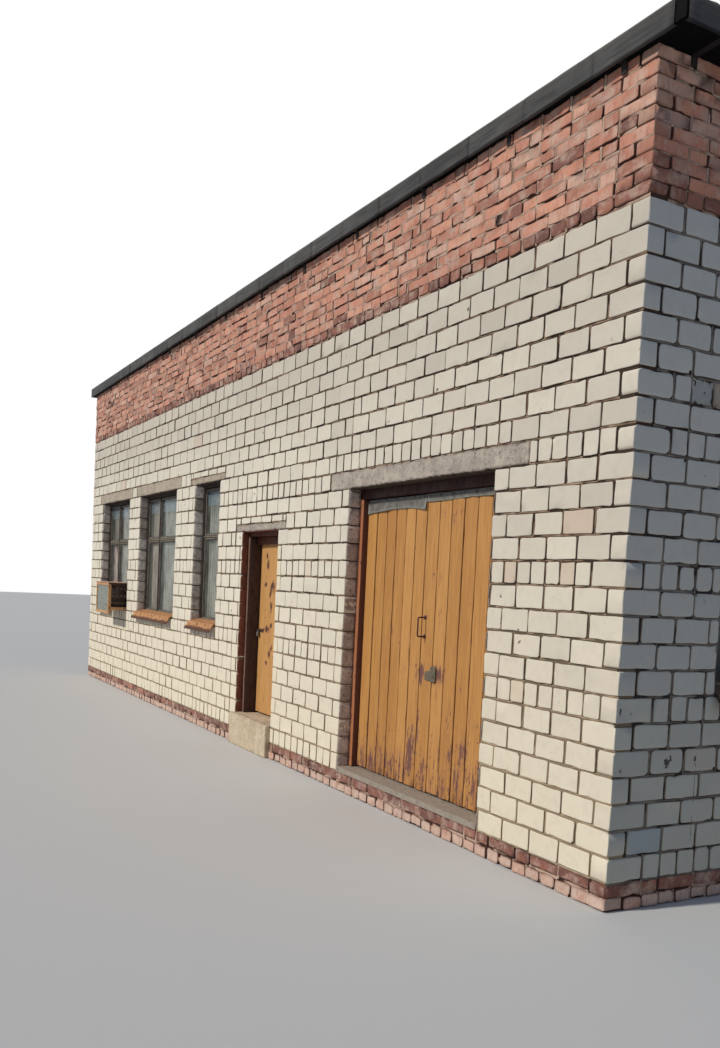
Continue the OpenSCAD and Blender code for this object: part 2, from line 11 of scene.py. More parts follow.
import bpy
import numpy as np
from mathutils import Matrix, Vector


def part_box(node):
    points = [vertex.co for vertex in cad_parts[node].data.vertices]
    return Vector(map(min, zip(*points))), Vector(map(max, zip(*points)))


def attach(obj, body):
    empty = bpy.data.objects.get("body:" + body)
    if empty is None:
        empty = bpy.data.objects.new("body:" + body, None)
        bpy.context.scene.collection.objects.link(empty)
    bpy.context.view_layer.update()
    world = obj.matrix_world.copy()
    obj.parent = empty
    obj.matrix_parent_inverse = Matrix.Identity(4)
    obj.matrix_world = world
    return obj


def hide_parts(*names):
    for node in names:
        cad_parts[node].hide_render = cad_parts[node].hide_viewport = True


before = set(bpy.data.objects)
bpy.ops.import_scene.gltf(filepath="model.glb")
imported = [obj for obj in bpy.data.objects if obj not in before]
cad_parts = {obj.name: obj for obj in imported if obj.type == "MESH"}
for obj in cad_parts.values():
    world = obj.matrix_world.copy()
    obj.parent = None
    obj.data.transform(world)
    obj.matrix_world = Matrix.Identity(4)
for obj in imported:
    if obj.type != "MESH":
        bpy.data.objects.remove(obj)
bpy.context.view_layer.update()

# %% [markdown]
# The photograph was taken by someone who stood close to the near corner and looked along the front, so the
# lines run together fast. A camera that was fitted to the brick courses gives its place, its three angles
# and its lens. The picture's optical axis lies below the middle of the frame, which a small shift gives.

# %% Camera
CAMERA_PLACE = (9.755, -6.622, 1.690)
CAMERA_TILT, CAMERA_ROLL, CAMERA_TURN = 86.666, -2.775, 61.412
camera_data = bpy.data.cameras.new("camera")
camera_data.lens = 32.78
camera_data.sensor_width = 36.0
camera_data.shift_y = 0.1107
camera = bpy.data.objects.new("camera", camera_data)
camera.location = CAMERA_PLACE
camera.rotation_euler = [math.radians(a) for a in (CAMERA_TILT, CAMERA_ROLL, CAMERA_TURN)]
bpy.context.scene.collection.objects.link(camera)
bpy.context.scene.camera = camera

# %% [markdown]
# A paint maker writes colours as hex values, which are display colours. The renderer counts in linear
# light, so one function turns them over. A second one adds a node to a material, sets it up and links it.
# Two more take up what nearly every finish repeats: a colour that covers another where some pattern is
# strong, and the shader with its bump at the end.

# %% Colour and node helpers
def linear(hex_colour):
    """An sRGB hex colour as the linear RGBA that sockets take."""
    values = [int(hex_colour[i:i + 2], 16) / 255 for i in (1, 3, 5)]
    return [v / 12.92 if v <= 0.04045 else ((v + 0.055) / 1.055) ** 2.4 for v in values] + [1.0]


def add_node(tree, kind, *values, stops=(), **named):
    """Adds one node. A value is a number, a hex colour, a node or a socket, and goes to the next socket or,
    with a capitalised name, to that one, _ for a space. Other names are settings; stops are for a ramp."""
    made = tree.nodes.new("ShaderNode" + kind)
    for name in [n for n in named if n[0].islower()]:
        setattr(made, name, named.pop(name))
    for name, value in [*enumerate(values), *((n.replace("_", " "), v) for n, v in named.items())]:
        if isinstance(value, bpy.types.Node):
            value = value.outputs[0]
        if isinstance(value, bpy.types.NodeSocket):
            tree.links.new(value, made.inputs[name])
        else:
            made.inputs[name].default_value = linear(value) if isinstance(value, str) else value
    for i, (place, colour) in enumerate(stops):
        points = made.color_ramp.elements
        point = points[i] if i < len(points) else points.new(place)
        point.position = place
        point.color = linear(colour) if isinstance(colour, str) else (colour, colour, colour, 1)
    return made


def new_material(name):
    """An empty material, and the function that adds a node to it."""
    material = bpy.data.materials.new(name)
    material.use_nodes = True
    material.node_tree.nodes.clear()
    return material, partial(add_node, material.node_tree)


MM = 0.001


def per_mm(size):
    """Noise scale, in turns per metre, for a pattern whose spots are size millimetres wide."""
    return 1000.0 / size


def cover(add, base, by, low, high, most, colour):
    """Lays a colour over a base: none of it where by is at low, as much as most where by is at high."""
    return add("MixRGB", add("MapRange", by, low, high, 0.0, most), base, colour)


def finish(material, add, colour, rough, height, strength, deep, **more):
    """Closes a material with its shader and a bump that is deep millimetres between low and high."""
    bump = add("Bump", Height=height, Strength=strength, Distance=deep * MM)
    add("OutputMaterial", Surface=add(
        "BsdfPrincipled", Base_Color=colour, Roughness=rough, Normal=bump, **more))
    return material


# %% [markdown]
# The stage is plain: a pale floor, a white background that only the camera and reflections see, an even
# sky and one soft sun. The sun stands in front of the building, to its left and a third of the way up, as
# on the day of the photograph, so the front is lit and the near end lies in shade.

# %% Floor, sky and sun
def make_stage():
    size = 60.0
    mesh = bpy.data.meshes.new("floor")
    mesh.from_pydata([(-size, -size, 0), (size, -size, 0), (size, size, 0), (-size, size, 0)], [],
                     [(0, 1, 2, 3)])
    floor = bpy.data.objects.new("floor", mesh)
    bpy.context.scene.collection.objects.link(floor)
    material, add = new_material("pale studio floor")
    add("OutputMaterial", Surface=add("BsdfPrincipled", Base_Color="#C8C7C4", Roughness=0.9))
    mesh.materials.append(material)

    world = bpy.data.worlds.new("even sky")
    bpy.context.scene.world = world
    world.use_nodes = True
    world.node_tree.nodes.clear()
    add = partial(add_node, world.node_tree)
    rays = add("LightPath").outputs
    seen = add("Math", rays["Is Camera Ray"], rays["Is Glossy Ray"], operation="MAXIMUM")
    seen = add("Math", seen, rays["Is Transmission Ray"], operation="MAXIMUM")
    light = add("Background", Color="#A8C6F4", Strength=0.28)
    white = add("Background", Color="#FFFFFF", Strength=1.0)
    add("OutputWorld", Surface=add("MixShader", seen, light, white))

    sun_data = bpy.data.lights.new("soft sun", "SUN")
    sun_data.energy = 2.72
    sun_data.angle = math.radians(3)
    sun_data.color = (1.0, 0.955, 0.885)
    sun = bpy.data.objects.new("soft sun", sun_data)
    sun_from = Vector((-0.11, -0.79, 0.60))
    sun.rotation_mode = "QUATERNION"
    sun.rotation_quaternion = sun_from.to_track_quat("Z", "Y")
    bpy.context.scene.collection.objects.link(sun)


make_stage()
bpy.context.scene.view_settings.view_transform = "Standard"

# %% [markdown]
# Places are read from the frame. A CAD node can hold several solids, such as all the lintels, so a helper
# splits a node's mesh into its solids and gives each one's box.

# %% Boxes of the solids in a node
def solids(node):
    """The (low, high) corners of each separate solid of a CAD node, in the order of their x, y and z."""
    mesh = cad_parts[node].data
    keys = [tuple(round(c, 4) for c in v.co) for v in mesh.vertices]
    group = {k: k for k in keys}

    def root(k):
        while group[k] != k:
            k = group[k]
        return k

    for polygon in mesh.polygons:
        first = root(keys[polygon.vertices[0]])
        for i in polygon.vertices[1:]:
            group[root(keys[i])] = first
    found = {}
    for k in group:
        found.setdefault(root(k), []).append(k)
    boxes = [(Vector(np.min(v, 0)), Vector(np.max(v, 0))) for v in found.values()]
    return sorted(boxes, key=lambda b: tuple(b[0]))


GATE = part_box("gate_frame")
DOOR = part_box("door_lining")
FRAME_NODES = ("frame_narrow", "frame_middle", "frame_far", "frames_end", "frames_back")
WINDOWS = [b for n in FRAME_NODES for b in solids(n)]
LINTELS = [b for n in ("gate_lintel", "door_lintel", "window_lintels") for b in solids(n)]
BACK_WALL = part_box("back_wall")
FAR_X, NEAR_X = BACK_WALL[0].x, BACK_WALL[1].x
BACK_Y = BACK_WALL[1].y
FRONT_Y = -BACK_Y
PALE_FOOT, PALE_TOP = BACK_WALL[0].z, BACK_WALL[1].z
WALL_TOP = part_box("red_wall_front")[1].z
print("windows", len(WINDOWS), "lintels", len(LINTELS))

# %% [markdown]
# Each outer face is drawn as a mason would: u runs along the wall from its near end, z runs up, and depth
# goes in. One record per wall holds its start, its two directions and its length.

# %% The four walls
def wall(start, along, out, length):
    return {"start": Vector(start), "along": Vector(along), "out": Vector(out), "length": length}


LONG, SHORT = NEAR_X - FAR_X, BACK_Y - FRONT_Y
LONG_SIDES = ("front", "back")
SEEN_SIDES = ("front", "near_end")
WALLS = {
    "front": wall((NEAR_X, FRONT_Y, 0), (-1, 0, 0), (0, -1, 0), LONG),
    "back": wall((NEAR_X, BACK_Y, 0), (-1, 0, 0), (0, 1, 0), LONG),
    "near_end": wall((NEAR_X, FRONT_Y, 0), (0, 1, 0), (1, 0, 0), SHORT),
    "far_end": wall((FAR_X, FRONT_Y, 0), (0, 1, 0), (-1, 0, 0), SHORT),
}


def on_wall(w, box, reach=0.2):
    """A box as (u0, u1, z0, z1) on a wall, or None if it isn't in that wall's outer part."""
    low, high = box
    us = [(c - w["start"]).dot(w["along"]) for c in box]
    depths = [-(c - w["start"]).dot(w["out"]) for c in box]
    if min(depths) > reach or max(depths) < 0 or max(us) < 0 or min(us) > w["length"]:
        return None
    return min(us), max(us), low.z, high.z


def to_wall(w, points):
    """Turns (u, depth, z) into places in the frame."""
    return (np.array(w["start"]) + points[:, :1] * np.array(w["along"])
            - points[:, 1:2] * np.array(w["out"]) + points[:, 2:] * np.array((0, 0, 1)))


def grid_to_wall(w, grid):
    """The same for a grid of them, of shape (m, n, 3)."""
    grid = np.array(grid)
    return to_wall(w, grid.reshape(-1, 3)).reshape(grid.shape)


def outwards(w, faces):
    """Faces drawn on a wall, turned over where they would look into it."""
    flipped = w["along"].cross(Vector((0, 0, 1))).dot(w["out"]) < 0
    return [f[::-1] for f in faces] if flipped else faces


FRONT = WALLS["front"]


def at_front(u, depth, z):
    """One place on the front."""
    return Vector(to_wall(FRONT, np.array([[u, depth, z]]))[0])


# %% [markdown]
# A brick, a board or a lintel is a block whose edges have worn round. The block is made from its front
# face: a grid of points, then rings that go round its edge and down its sides. Small random moves of those
# points make each one a little different, and now and then a corner is knocked off. Two numbers are kept at
# every point for the material: tone, the same all over one block, and rim, which rises towards the sides.

# %% A worn block
rng = np.random.default_rng(7)
STRUCK = 0.026


def block(size, edge, corner, cells, depth_lines, wobble, relief, chip=0.0, closed=False):
    """A block of size (length, height) whose front lies in the plane of x and z, with y going in.
    edge is the rounding, corner the margin of the face's grid, depth_lines the rings' depths."""
    length, height = size
    xs = np.concatenate([[edge], np.linspace(corner, length - corner, cells[0] + 1), [length - edge]])
    zs = np.concatenate([[edge], np.linspace(corner, height - corner, cells[1] + 1), [height - edge]])
    nx, nz = len(xs), len(zs)
    grid = np.stack([np.tile(xs, nz), np.zeros(nx * nz), np.repeat(zs, nx)], 1)
    ids = np.arange(nx * nz).reshape(nz, nx)
    ring = np.concatenate([ids[0, :-1], ids[:-1, -1], ids[-1, :0:-1], ids[:0:-1, 0]])
    n = len(ring)
    rim = np.zeros(nx * nz)
    rim[ring] = 0.3
    corners = [0, nx - 1, nx + nz - 2, 2 * nx + nz - 3]
    towards = np.array([[1, 1], [-1, 1], [-1, -1], [1, -1]])

    flat = grid[ring].copy()
    outward = np.zeros((n, 2))
    outward[flat[:, 0] <= edge * 1.01, 0] = -1
    outward[flat[:, 0] >= length - edge * 1.01, 0] = 1
    outward[flat[:, 2] <= edge * 1.01, 1] = -1
    outward[flat[:, 2] >= height - edge * 1.01, 1] = 1

    move = rng.normal(0, wobble, (n, 2))
    move[corners] += towards * 0.29 * corner
    sink = np.zeros(n)
    if rng.random() < chip:
        at = int(rng.integers(0, 4))
        reach = rng.uniform(0.3, 0.9) * max(corner, STRUCK * (chip >= 1))
        move[corners[at]] += towards[at] * reach
        sink[corners[at]] = reach * 0.6
    if rng.random() < chip * 2:
        at = int(rng.integers(0, n))
        bite = rng.uniform(0.5, 1.3) * edge
        move[at] -= outward[at] * bite
        sink[at] = bite * 0.8
    grid[:, 1] += rng.normal(0, relief, nx * nz)
    grid[ring, 0] += move[:, 0]
    grid[ring, 2] += move[:, 1]
    grid[ring, 1] += sink
    rings, rims = [grid], [rim]
    for k, (inset, depth) in enumerate([(0.3 * edge, 0.3 * edge)] + depth_lines):
        part = flat.copy()
        part[:, 0] += outward[:, 0] * (edge - inset) + move[:, 0]
        part[:, 2] += outward[:, 1] * (edge - inset) + move[:, 1]
        part[:, 1] = depth + (sink if depth < 2 * edge else 0)
        rings.append(part)
        rims.append(np.full(n, 0.6 if k == 0 else 1.0))
    points = np.concatenate(rings)

    quads = [(ids[j, i], ids[j, i + 1], ids[j + 1, i + 1], ids[j + 1, i])
             for j in range(nz - 1) for i in range(nx - 1)]
    last = ring
    for k in range(len(rings) - 1):
        now = nx * nz + k * n + np.arange(n)
        quads += [(last[(i + 1) % n], last[i], now[i], now[(i + 1) % n]) for i in range(n)]
        last = now
    if closed:
        quads.append(tuple(int(i) for i in last[::-1]))
    return points, quads, np.concatenate(rims)


def place_block(w, u0, u1, z0, z1, tone, edge=0.006, corner=0.013, cells=(3, 1), depth=0.014, proud=0.0,
                tilt=0.0, wobble=0.0008, relief=0.0004, chip=0.1, full=False, back=0.0, closed=False,
                cup=0.0, side_rim=0.3, plain=False):
    """A block on a wall as (points, faces, tone, rim). back is how deep its front lies, cup how far its
    upright edges curl back. A deep block shows its sides, so side_rim caps their rim, which the materials
    paint darker as dirt and shade; a full or closed one has a rear, and a plain one has the fewest rings."""
    lines = [(0, depth)] if plain else [(0, edge), (0, depth)]
    if full:
        lines = [(0, edge), (0, edge + 0.006), (0, depth - 0.009), (0, depth - 0.003), (0.002, depth),
                 (0.012, depth)]
    elif closed:
        lines = [(0, edge), (0, depth - edge), (edge * 0.3, depth - edge * 0.3), (edge, depth)]
    points, faces, rim = block((u1 - u0, z1 - z0), edge, corner, cells, lines, wobble, relief, chip, closed)
    if depth > 0.05 or closed:
        rim = np.minimum(rim, side_rim)
    across = points[:, 0] / (u1 - u0) - 0.5
    lean = across * tilt + 4 * cup * across ** 2
    points[:, 1] += np.where(points[:, 1] < depth * 0.5, lean - proud, 0)
    points = to_wall(w, points + np.array((u0, back, z0)))
    points[:, 2] = np.maximum(points[:, 2], 0.0)
    return points, outwards(w, faces), np.full(len(points), tone), rim


SAWN = {"edge": 0.003, "corner": 0.010, "closed": True}
FORGED = {"edge": 0.001, "corner": 0.003, "cells": (1, 1), "closed": True, "wobble": 0, "relief": 0}


def make_piece(name, parts, material, body="building", slot=None, stands_for=(), smooth=True):
    """Joins parts of (points, faces, tone, rim) into one object that rides on a body."""
    points = np.concatenate([p[0] for p in parts])
    faces, start = [], 0
    for p in parts:
        faces += [tuple(int(i) + start for i in f) for f in p[1]]
        start += len(p[0])
    mesh = bpy.data.meshes.new(name)
    mesh.from_pydata(points.tolist(), [], faces)
    for label, k in (("tone", 2), ("rim", 3)):
        values = np.concatenate([p[k] for p in parts]).astype(np.float32)
        mesh.attributes.new(label, "FLOAT", "POINT").data.foreach_set("value", values)
    if smooth:
        mesh.polygons.foreach_set("use_smooth", [True] * len(faces))
    mesh.materials.append(material)
    piece = bpy.data.objects.new(name, mesh)
    bpy.context.scene.collection.objects.link(piece)
    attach(piece, body)
    if stands_for:
        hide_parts(*stands_for)
    triangles = sum(len(f) - 2 for f in faces)
    print(f"{name}: {len(parts)} parts, {triangles} triangles")
    return piece


# %% [markdown]
# Pressed silicate brick is sand and lime hardened in steam. It comes out pale grey-white and smooth, and
# decades of rain give it dull spots, pits and a dark brown edge: dirt out of the joints, and painted shade in
# the joints. Low down it is painted lighter and yellower, dust and painted light from the ground; away from
# the near corner it is painted lighter, and the near end gets a painted shade. Tone picks one of several
# shades, and height adds the yellow.

# %% Pale silicate brick
TAR_SPOTS = [((NEAR_X, FRONT_Y + y, PALE_FOOT + z), (0.03, wide, tall)) for y, z, wide, tall in (
    (0.392, 0.642, 0.034, 0.040), (0.420, 0.668, 0.012, 0.034), (0.612, 0.650, 0.018, 0.022),
    (0.617, 0.500, 0.0035, 0.190), (0.616, 0.260, 0.003, 0.120), (0.030, 0.930, 0.010, 0.040))]


def make_pale_brick():
    material, add = new_material("pale silicate brick")
    place = add("TexCoord").outputs["Object"]
    tone = add("Attribute", attribute_name="tone").outputs["Fac"]
    rim = add("Attribute", attribute_name="rim").outputs["Fac"]
    shade = add("ValToRGB", tone, stops=[(0.0, "#C2B9AA"), (0.3, "#CDC4B4"), (0.6, "#D5CCBB"),
        (0.82, "#D9D0BE"), (0.86, "#DCCBA0"), (0.91, "#CBB8A4"), (0.96, "#A5B3BA"), (1.0, "#7E7469")])
    axes = add("SeparateXYZ", place).outputs
    height, east = axes["Z"], axes["X"]
    shade = cover(add, shade, height, 2.9, 3.5, 0.3, "#B2A99B")
    # Away from the near corner and below the red band the brick is painted lighter: painted light.
    away = add("MapRange", east, NEAR_X - 1.5, NEAR_X - 5.0, 0.0, 0.62)
    under = add("MapRange", height, 3.4, 2.3)
    lit_away = add("Math", away, under, operation="MULTIPLY")
    lightened_away = add("MixRGB", lit_away, shade, "#ECE4D1")
    # The near end faces away from the sun: its faces get a painted cool shade, a grey that darkens towards
    # the ground, and they lose the painted ground light.
    facing = add("SeparateXYZ", add("NewGeometry").outputs["Normal"]).outputs["X"]
    turned = add("MapRange", facing, 0.45, 0.75)
    at_end = add("MapRange", east, NEAR_X - 0.05, NEAR_X - 0.04)
    on_end = add("Math", turned, at_end, operation="MULTIPLY")
    in_sun = add("MapRange", on_end, To_Min=1.0, To_Max=0.12)
    in_shade = add("MapRange", on_end, To_Min=0.0, To_Max=0.55)
    # Low down the brick is painted lighter and yellower: dust, and painted light thrown up from the ground.
    cloud = add("TexNoise", Vector=place, Scale=per_mm(700), Detail=3.0)
    wander = add("Math", cloud, 0.9, height, operation="MULTIPLY_ADD")
    low = add("MapRange", wander, 2.6, 0.9, 0.0, 0.62)
    ground_light_and_dust = add("Math", low, in_sun, operation="MULTIPLY")
    sunny = add("MixRGB", ground_light_and_dust, lightened_away, "#E8DCC1")
    end_shade = cover(add, "#CACFCE", height, 3.6, 0.3, 1.0, "#A4A8A2")
    with_end_shade = add("MixRGB", in_shade, sunny, end_shade)
    mottle = add("TexNoise", Vector=place, Scale=per_mm(60), Detail=5.0, Roughness=0.6)
    spotted = cover(add, with_end_shade, mottle, 0.48, 0.75, 0.22, "#AFA491")
    grit = add("TexNoise", Vector=place, Scale=per_mm(11), Detail=2.0)
    pits = add("ValToRGB", grit, stops=[(0.735, 0.0), (0.78, 1.0)])
    pitted = add("MixRGB", pits, spotted, "#7C705F")
    patch = add("TexNoise", Vector=place, Scale=per_mm(1300), Detail=1.0)
    where = add("MapRange", patch, 0.44, 0.6)
    twist = add("TexNoise", Vector=place, Scale=per_mm(16), Detail=2.0).outputs["Color"]
    bent = add("MixRGB", 0.04, place, twist)
    knock = add("TexVoronoi", Vector=bent, Scale=per_mm(170))
    mark = add("MapRange", knock.outputs["Distance"], 0.075, 0.045)
    marked = add("Math", mark, where, operation="MULTIPLY")
    knocked = add("MixRGB", marked, pitted, "#5B4C40")
    # The sides of a brick, down in the joints, are painted dark brown: dirt from the joints, and painted
    # shade in the joints.
    rim_dirt_and_shade = add("MixRGB", ground_light_and_dust, "#5F4F42", "#A8967A")
    edged = cover(add, knocked, rim, 0.3, 1.0, 1.0, rim_dirt_and_shade)
    ragged = add("TexNoise", Vector=place, Scale=per_mm(13), Detail=4.0)
    for spot, reach in TAR_SPOTS:
        near = add("Mapping", Vector=place, Location=spot, Scale=reach, vector_type="TEXTURE")
        far = add("VectorMath", near, operation="LENGTH")
        torn = add("Math", ragged, -2.2, far.outputs["Value"], operation="MULTIPLY_ADD")
        tarred = add("MapRange", torn, -0.55, -0.4, 0.92, 0.0)
        edged = add("MixRGB", tarred, edged, "#191513")
    rough = add("Math", mottle, 0.6, 0.4, operation="MULTIPLY_ADD")
    relief = add("Math", pits, -1.4, rough, operation="MULTIPLY_ADD")
    return finish(material, add, edged, 0.86, relief, 0.5, 2, IOR=1.5)


PALE_BRICK = make_pale_brick()

# %% [markdown]
# Mortar lies a little back from the brick faces. It is sandy and uneven, and here and there it has fallen
# out. So the wall behind the bricks carries a dark layer, dirt and painted shade in the open joints, and each
# joint gets a low ridge of mortar on it that wanders, sinks and runs out in places. The number rim tells the
# material how deep a point lies, and deeper mortar is painted darker as shade.

# %% Weathered mortar
def make_mortar(name, pale, dark, hollow, dust=0.0):
    material, add = new_material(name)
    place = add("TexCoord").outputs["Object"]
    deep = add("Attribute", attribute_name="rim").outputs["Fac"]
    patches = add("TexNoise", Vector=place, Scale=per_mm(130), Detail=4.0)
    colour = add("ValToRGB", patches, stops=[(0.38, dark), (0.62, pale)])
    # Deeper mortar goes towards the hollow colour: dirt, and painted shade in the open joints.
    sunk = add("MixRGB", deep, colour, hollow)
    height = add("SeparateXYZ", place).outputs["Z"]
    sunk = cover(add, sunk, height, 1.9, 0.4, dust, "#BBA98B")
    sand = add("TexNoise", Vector=place, Scale=per_mm(7), Detail=3.0, Roughness=0.7)
    return finish(material, add, sunk, 0.95, sand, 0.8, 3)


PALE_MORTAR = make_mortar("weathered grey mortar", "#BC9E82", "#977962", "#35251A", 0.6)
# The near end lies in shade and gets a darker copy of the mortar: painted shade.
END_MORTAR = make_mortar("grey mortar darkened as painted shade", "#8C8378", "#625A52", "#221D1B")


def bead(w, a, b, width, depth, uneven, missing, every=1):
    """Mortar between two bricks, from a to b as (u, z): a ridge whose sides slope back. Only each
    every-th point along it is kept."""
    a, b = np.array(a), np.array(b)
    length = np.linalg.norm(b - a)
    n = max(3, int(length / 0.035) + 1)
    side = np.array((a[1] - b[1], b[0] - a[0])) / length * width / 2
    middle = a + (b - a) * np.linspace(0, 1, n)[:, None]
    lie = np.maximum(depth + rng.normal(0, uneven, n), 0.001)
    gone = np.repeat(rng.random(n // 3 + 1) < missing, 3)[:n]
    lie[gone] = 0.013
    kept = np.unique(np.append(np.arange(0, n, every), n - 1))
    n = len(kept)
    rows = [np.concatenate([middle + side * k, (lie + abs(k) * 0.004)[:, None]], 1)[kept] for k in (-1, 0, 1)]
    points = np.stack(rows, 1).reshape(-1, 3)[:, [0, 2, 1]]
    faces = [(3 * i + k, 3 * i + 3 + k, 3 * i + 4 + k, 3 * i + 1 + k) for i in range(n - 1) for k in (0, 1)]
    rim = np.clip((points[:, 1] - 0.004) / 0.006, 0, 1)
    return to_wall(w, points), outwards(w, faces), np.zeros(len(points)), rim


# %% [markdown]
# The pale wall is 25 courses of double brick in running bond. Every fifth course or so turns its bricks end
# on to tie the wall together: those are the header courses. The corner brick of a course belongs to the
# front or to the end wall by turns. Over the gate the header course moves up one, because the lintel takes
# its place, and the near pier's lowest course stays stretchers.

# %% Courses of the pale wall
PITCH, COURSE = 0.262, 0.144
HALF = PITCH / 2
HEAD_JOINT, BED_JOINT = 0.0145, 0.0135
BRICK_DEPTH = 0.120
HEADER_COURSES = (9, 14, 19, 25)
PALE_COURSES = round((PALE_TOP - PALE_FOOT) / COURSE)
GATE_SPAN = on_wall(FRONT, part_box("gate_lintel"))[:2]


def is_header(name, row, u):
    """Whether the brick at u in a course, counted from the top, shows its end."""
    if name == "front" and GATE_SPAN[0] < u < GATE_SPAN[1] and row in (8, 9):
        return row == 8
    if name == "front" and row == 25 and u < GATE_SPAN[0] + 0.3:
        return False
    return row in HEADER_COURSES


BOND_BREAKS = [("front", 5, 24, 2.95), ("front", 11, 13, 5.45), ("front", 20, 24, 5.45),
               ("near_end", 7, 7, 0.25)]


def course_bricks(name, length, row):
    """The (u0, u1) of each brick of a course before openings are cut. A half brick breaks the bond."""
    owns_corner = (row % 2 == 0) == (name in LONG_SIDES)
    u, stop = (0.0, length) if owns_corner else (HALF, length - HALF)
    breaks = [at for side, low, high, at in BOND_BREAKS if side == name and low <= row <= high]
    made = []
    while u < stop - 0.001:
        at_corner = owns_corner and (u < 0.001 or u > stop - PITCH - 0.001)
        step = HALF if is_header(name, row, u + 0.01) and not at_corner else PITCH
        if breaks and u > breaks[0]:
            step = HALF
            breaks.pop(0)
        step = min(step, stop - u)
        made.append((u, u + step))
        u += step
    return made


def cut(brick, holes):
    """Takes openings and lintels out of a brick (u0, u1, z0, z1, deep): several may be left, or none."""
    pieces = [brick]
    for h0, h1, g0, g1, opening in holes:
        left = []
        for u0, u1, z0, z1, deep in pieces:
            if u1 <= h0 or u0 >= h1 or z1 <= g0 + 0.004 or z0 >= g1 - 0.004:
                left.append((u0, u1, z0, z1, deep))
                continue
            if u0 < h0:
                left.append((u0, h0, z0, z1, deep or opening))
            if u1 > h1:
                left.append((h1, u1, z0, z1, deep or opening))
            if z1 > g1 + 0.03:
                left.append((max(u0, h0), min(u1, h1), g1, z1, deep))
        pieces = left
    return [p for p in pieces if p[1] - p[0] > 0.035]


def wall_holes(w):
    """Openings and lintels of a wall as (u0, u1, z0, z1, is an opening)."""
    holes = [(*on_wall(w, b), True) for b in WINDOWS + [GATE, DOOR] if on_wall(w, b)]
    return holes + [(*on_wall(w, b), False) for b in LINTELS if on_wall(w, b)]


DOOR_EDGE = on_wall(FRONT, DOOR)[0]
CREAM, PINKISH, BLUISH, BROKEN = 0.86, 0.91, 0.96, 1.0
ODD_BRICKS = [("near_end", 24, 0.14, BLUISH), ("near_end", 7, 0.39, BROKEN),
              ("front", 14, 0.93, PINKISH), ("front", 14, 0.40, PINKISH)]
CHIPPED = [("front", 20, 0.2), ("front", 9, 0.72), ("front", 9, 0.60), ("front", 22, 0.9), ("front", 24, 1.0),
           ("front", 16, 1.1), ("front", 24, 0.3), ("front", 2, 1.95), ("front", 17, 0.4)]


def pale_tone(name, row, u):
    """A shade for one brick: mostly alike, now and then an odd one."""
    odd = rng.random()
    known = [tone for side, r, at, tone in ODD_BRICKS if (side, r) == (name, row) and abs(at - u) < 0.09]
    if known:
        return known[0]
    if odd > 0.988:
        return PINKISH
    return float(np.clip(rng.normal(0.45, 0.16), 0.0, 0.80))


def lay_pale_wall(name, fine):
    """Bricks and mortar of one pale wall."""
    w = WALLS[name]
    holes = wall_holes(w)
    bricks, mortar = [], []
    for row in range(1, PALE_COURSES + 1):
        z0 = PALE_TOP - row * COURSE
        for u0, u1 in course_bricks(name, w["length"], row):
            at_corner = u0 < 0.001 or u1 > w["length"] - 0.001
            for a, b, lo, hi, deep in cut((u0, u1, z0, z0 + COURSE, False), holes):
                sunk, wide = (0.003, 0.016) if name == "near_end" else (0.0055, 0.0125)
                every = 1 if fine else 3
                mortar.append(bead(w, (a, lo), (b, lo), wide, sunk, 0.0014, 0.2 if row % 3 else 0.35, every))
                if b < w["length"] - 0.001:
                    mortar.append(bead(w, (b, lo), (b, hi), wide, sunk, 0.0014, 0.25, every))
                full = at_corner and (a < 0.001 or b > w["length"] - 0.001)
                a += 0 if a < 0.001 or (deep and a > u0 + 0.001) else HEAD_JOINT / 2
                b -= 0 if b > w["length"] - 0.001 or (deep and b < u1 - 0.001) else HEAD_JOINT / 2
                slip = rng.normal(0, 0.0015, 4)
                if full:
                    slip[:2] = 0
                span = b + slip[1] - (a + slip[0])
                across = 4 if span > 0.2 else 2 if span > 0.09 else 1
                by_door = name == "front" and deep and span < 0.2 and abs(b - DOOR_EDGE) < 0.02
                tone = CREAM if by_door else pale_tone(name, row, u0)
                worn = rng.uniform(0.006, 0.024 if name == "near_end" else 0.013)
                rough = tone == BROKEN
                struck = any((name, row) == spot[:2] and u0 <= spot[2] < u1 for spot in CHIPPED)
                bricks.append(place_block(
                    w, a + slip[0], b + slip[1], lo + BED_JOINT / 2 + slip[2],
                    hi - BED_JOINT / 2 + slip[3], tone, edge=0.0045 if name == "near_end" else 0.0032,
                    cells=(9, 6) if rough else (across if fine else 1, 2 if fine else 1),
                    corner=min(worn, span * 0.3, (hi - lo) * 0.3),
                    depth=BRICK_DEPTH if deep or full else 0.016,
                    proud=-0.006 if rough else -abs(rng.normal(0, 0.0018)), tilt=rng.normal(0, 0.003),
                    wobble=0.005 if rough else 0.0014, relief=0.003 if rough else 0.0004, full=full,
                    chip=1.0 if struck else 0.2 if fine else 0.0, plain=not (fine or deep)))
    return bricks, mortar


PALE_NODES = {
    "front": ["front_wall_far", "front_pier_middle", "front_pier_near", "front_wall_over_door",
              "front_wall_over_gate"],
    "near_end": ["near_end_wall"], "far_end": ["far_end_wall"], "back": ["back_wall"],
}
pale_beads = {}
for side, nodes in PALE_NODES.items():
    bricks, pale_beads[side] = lay_pale_wall(side, side in SEEN_SIDES)
    half = [p[0].mean(0)[0] > 1.1 for p in bricks] if side == "front" else [True] * len(bricks)
    for label, wanted in (("", True), ("_far", False)):
        chosen = [p for p, is_near in zip(bricks, half) if is_near == wanted]
        if chosen:
            make_piece(f"pale_bricks_{side}{label}", chosen, PALE_BRICK, slot="pale_brick",
                       stands_for=nodes)

# %% [markdown]
# Behind the bricks stands the rest of the wall: a layer of mortar just back from the brick faces, and the
# inner wall with a plastered room side. Each is a slab with square holes, built on a grid of the holes'
# edges, so that only cells outside the holes get faces.

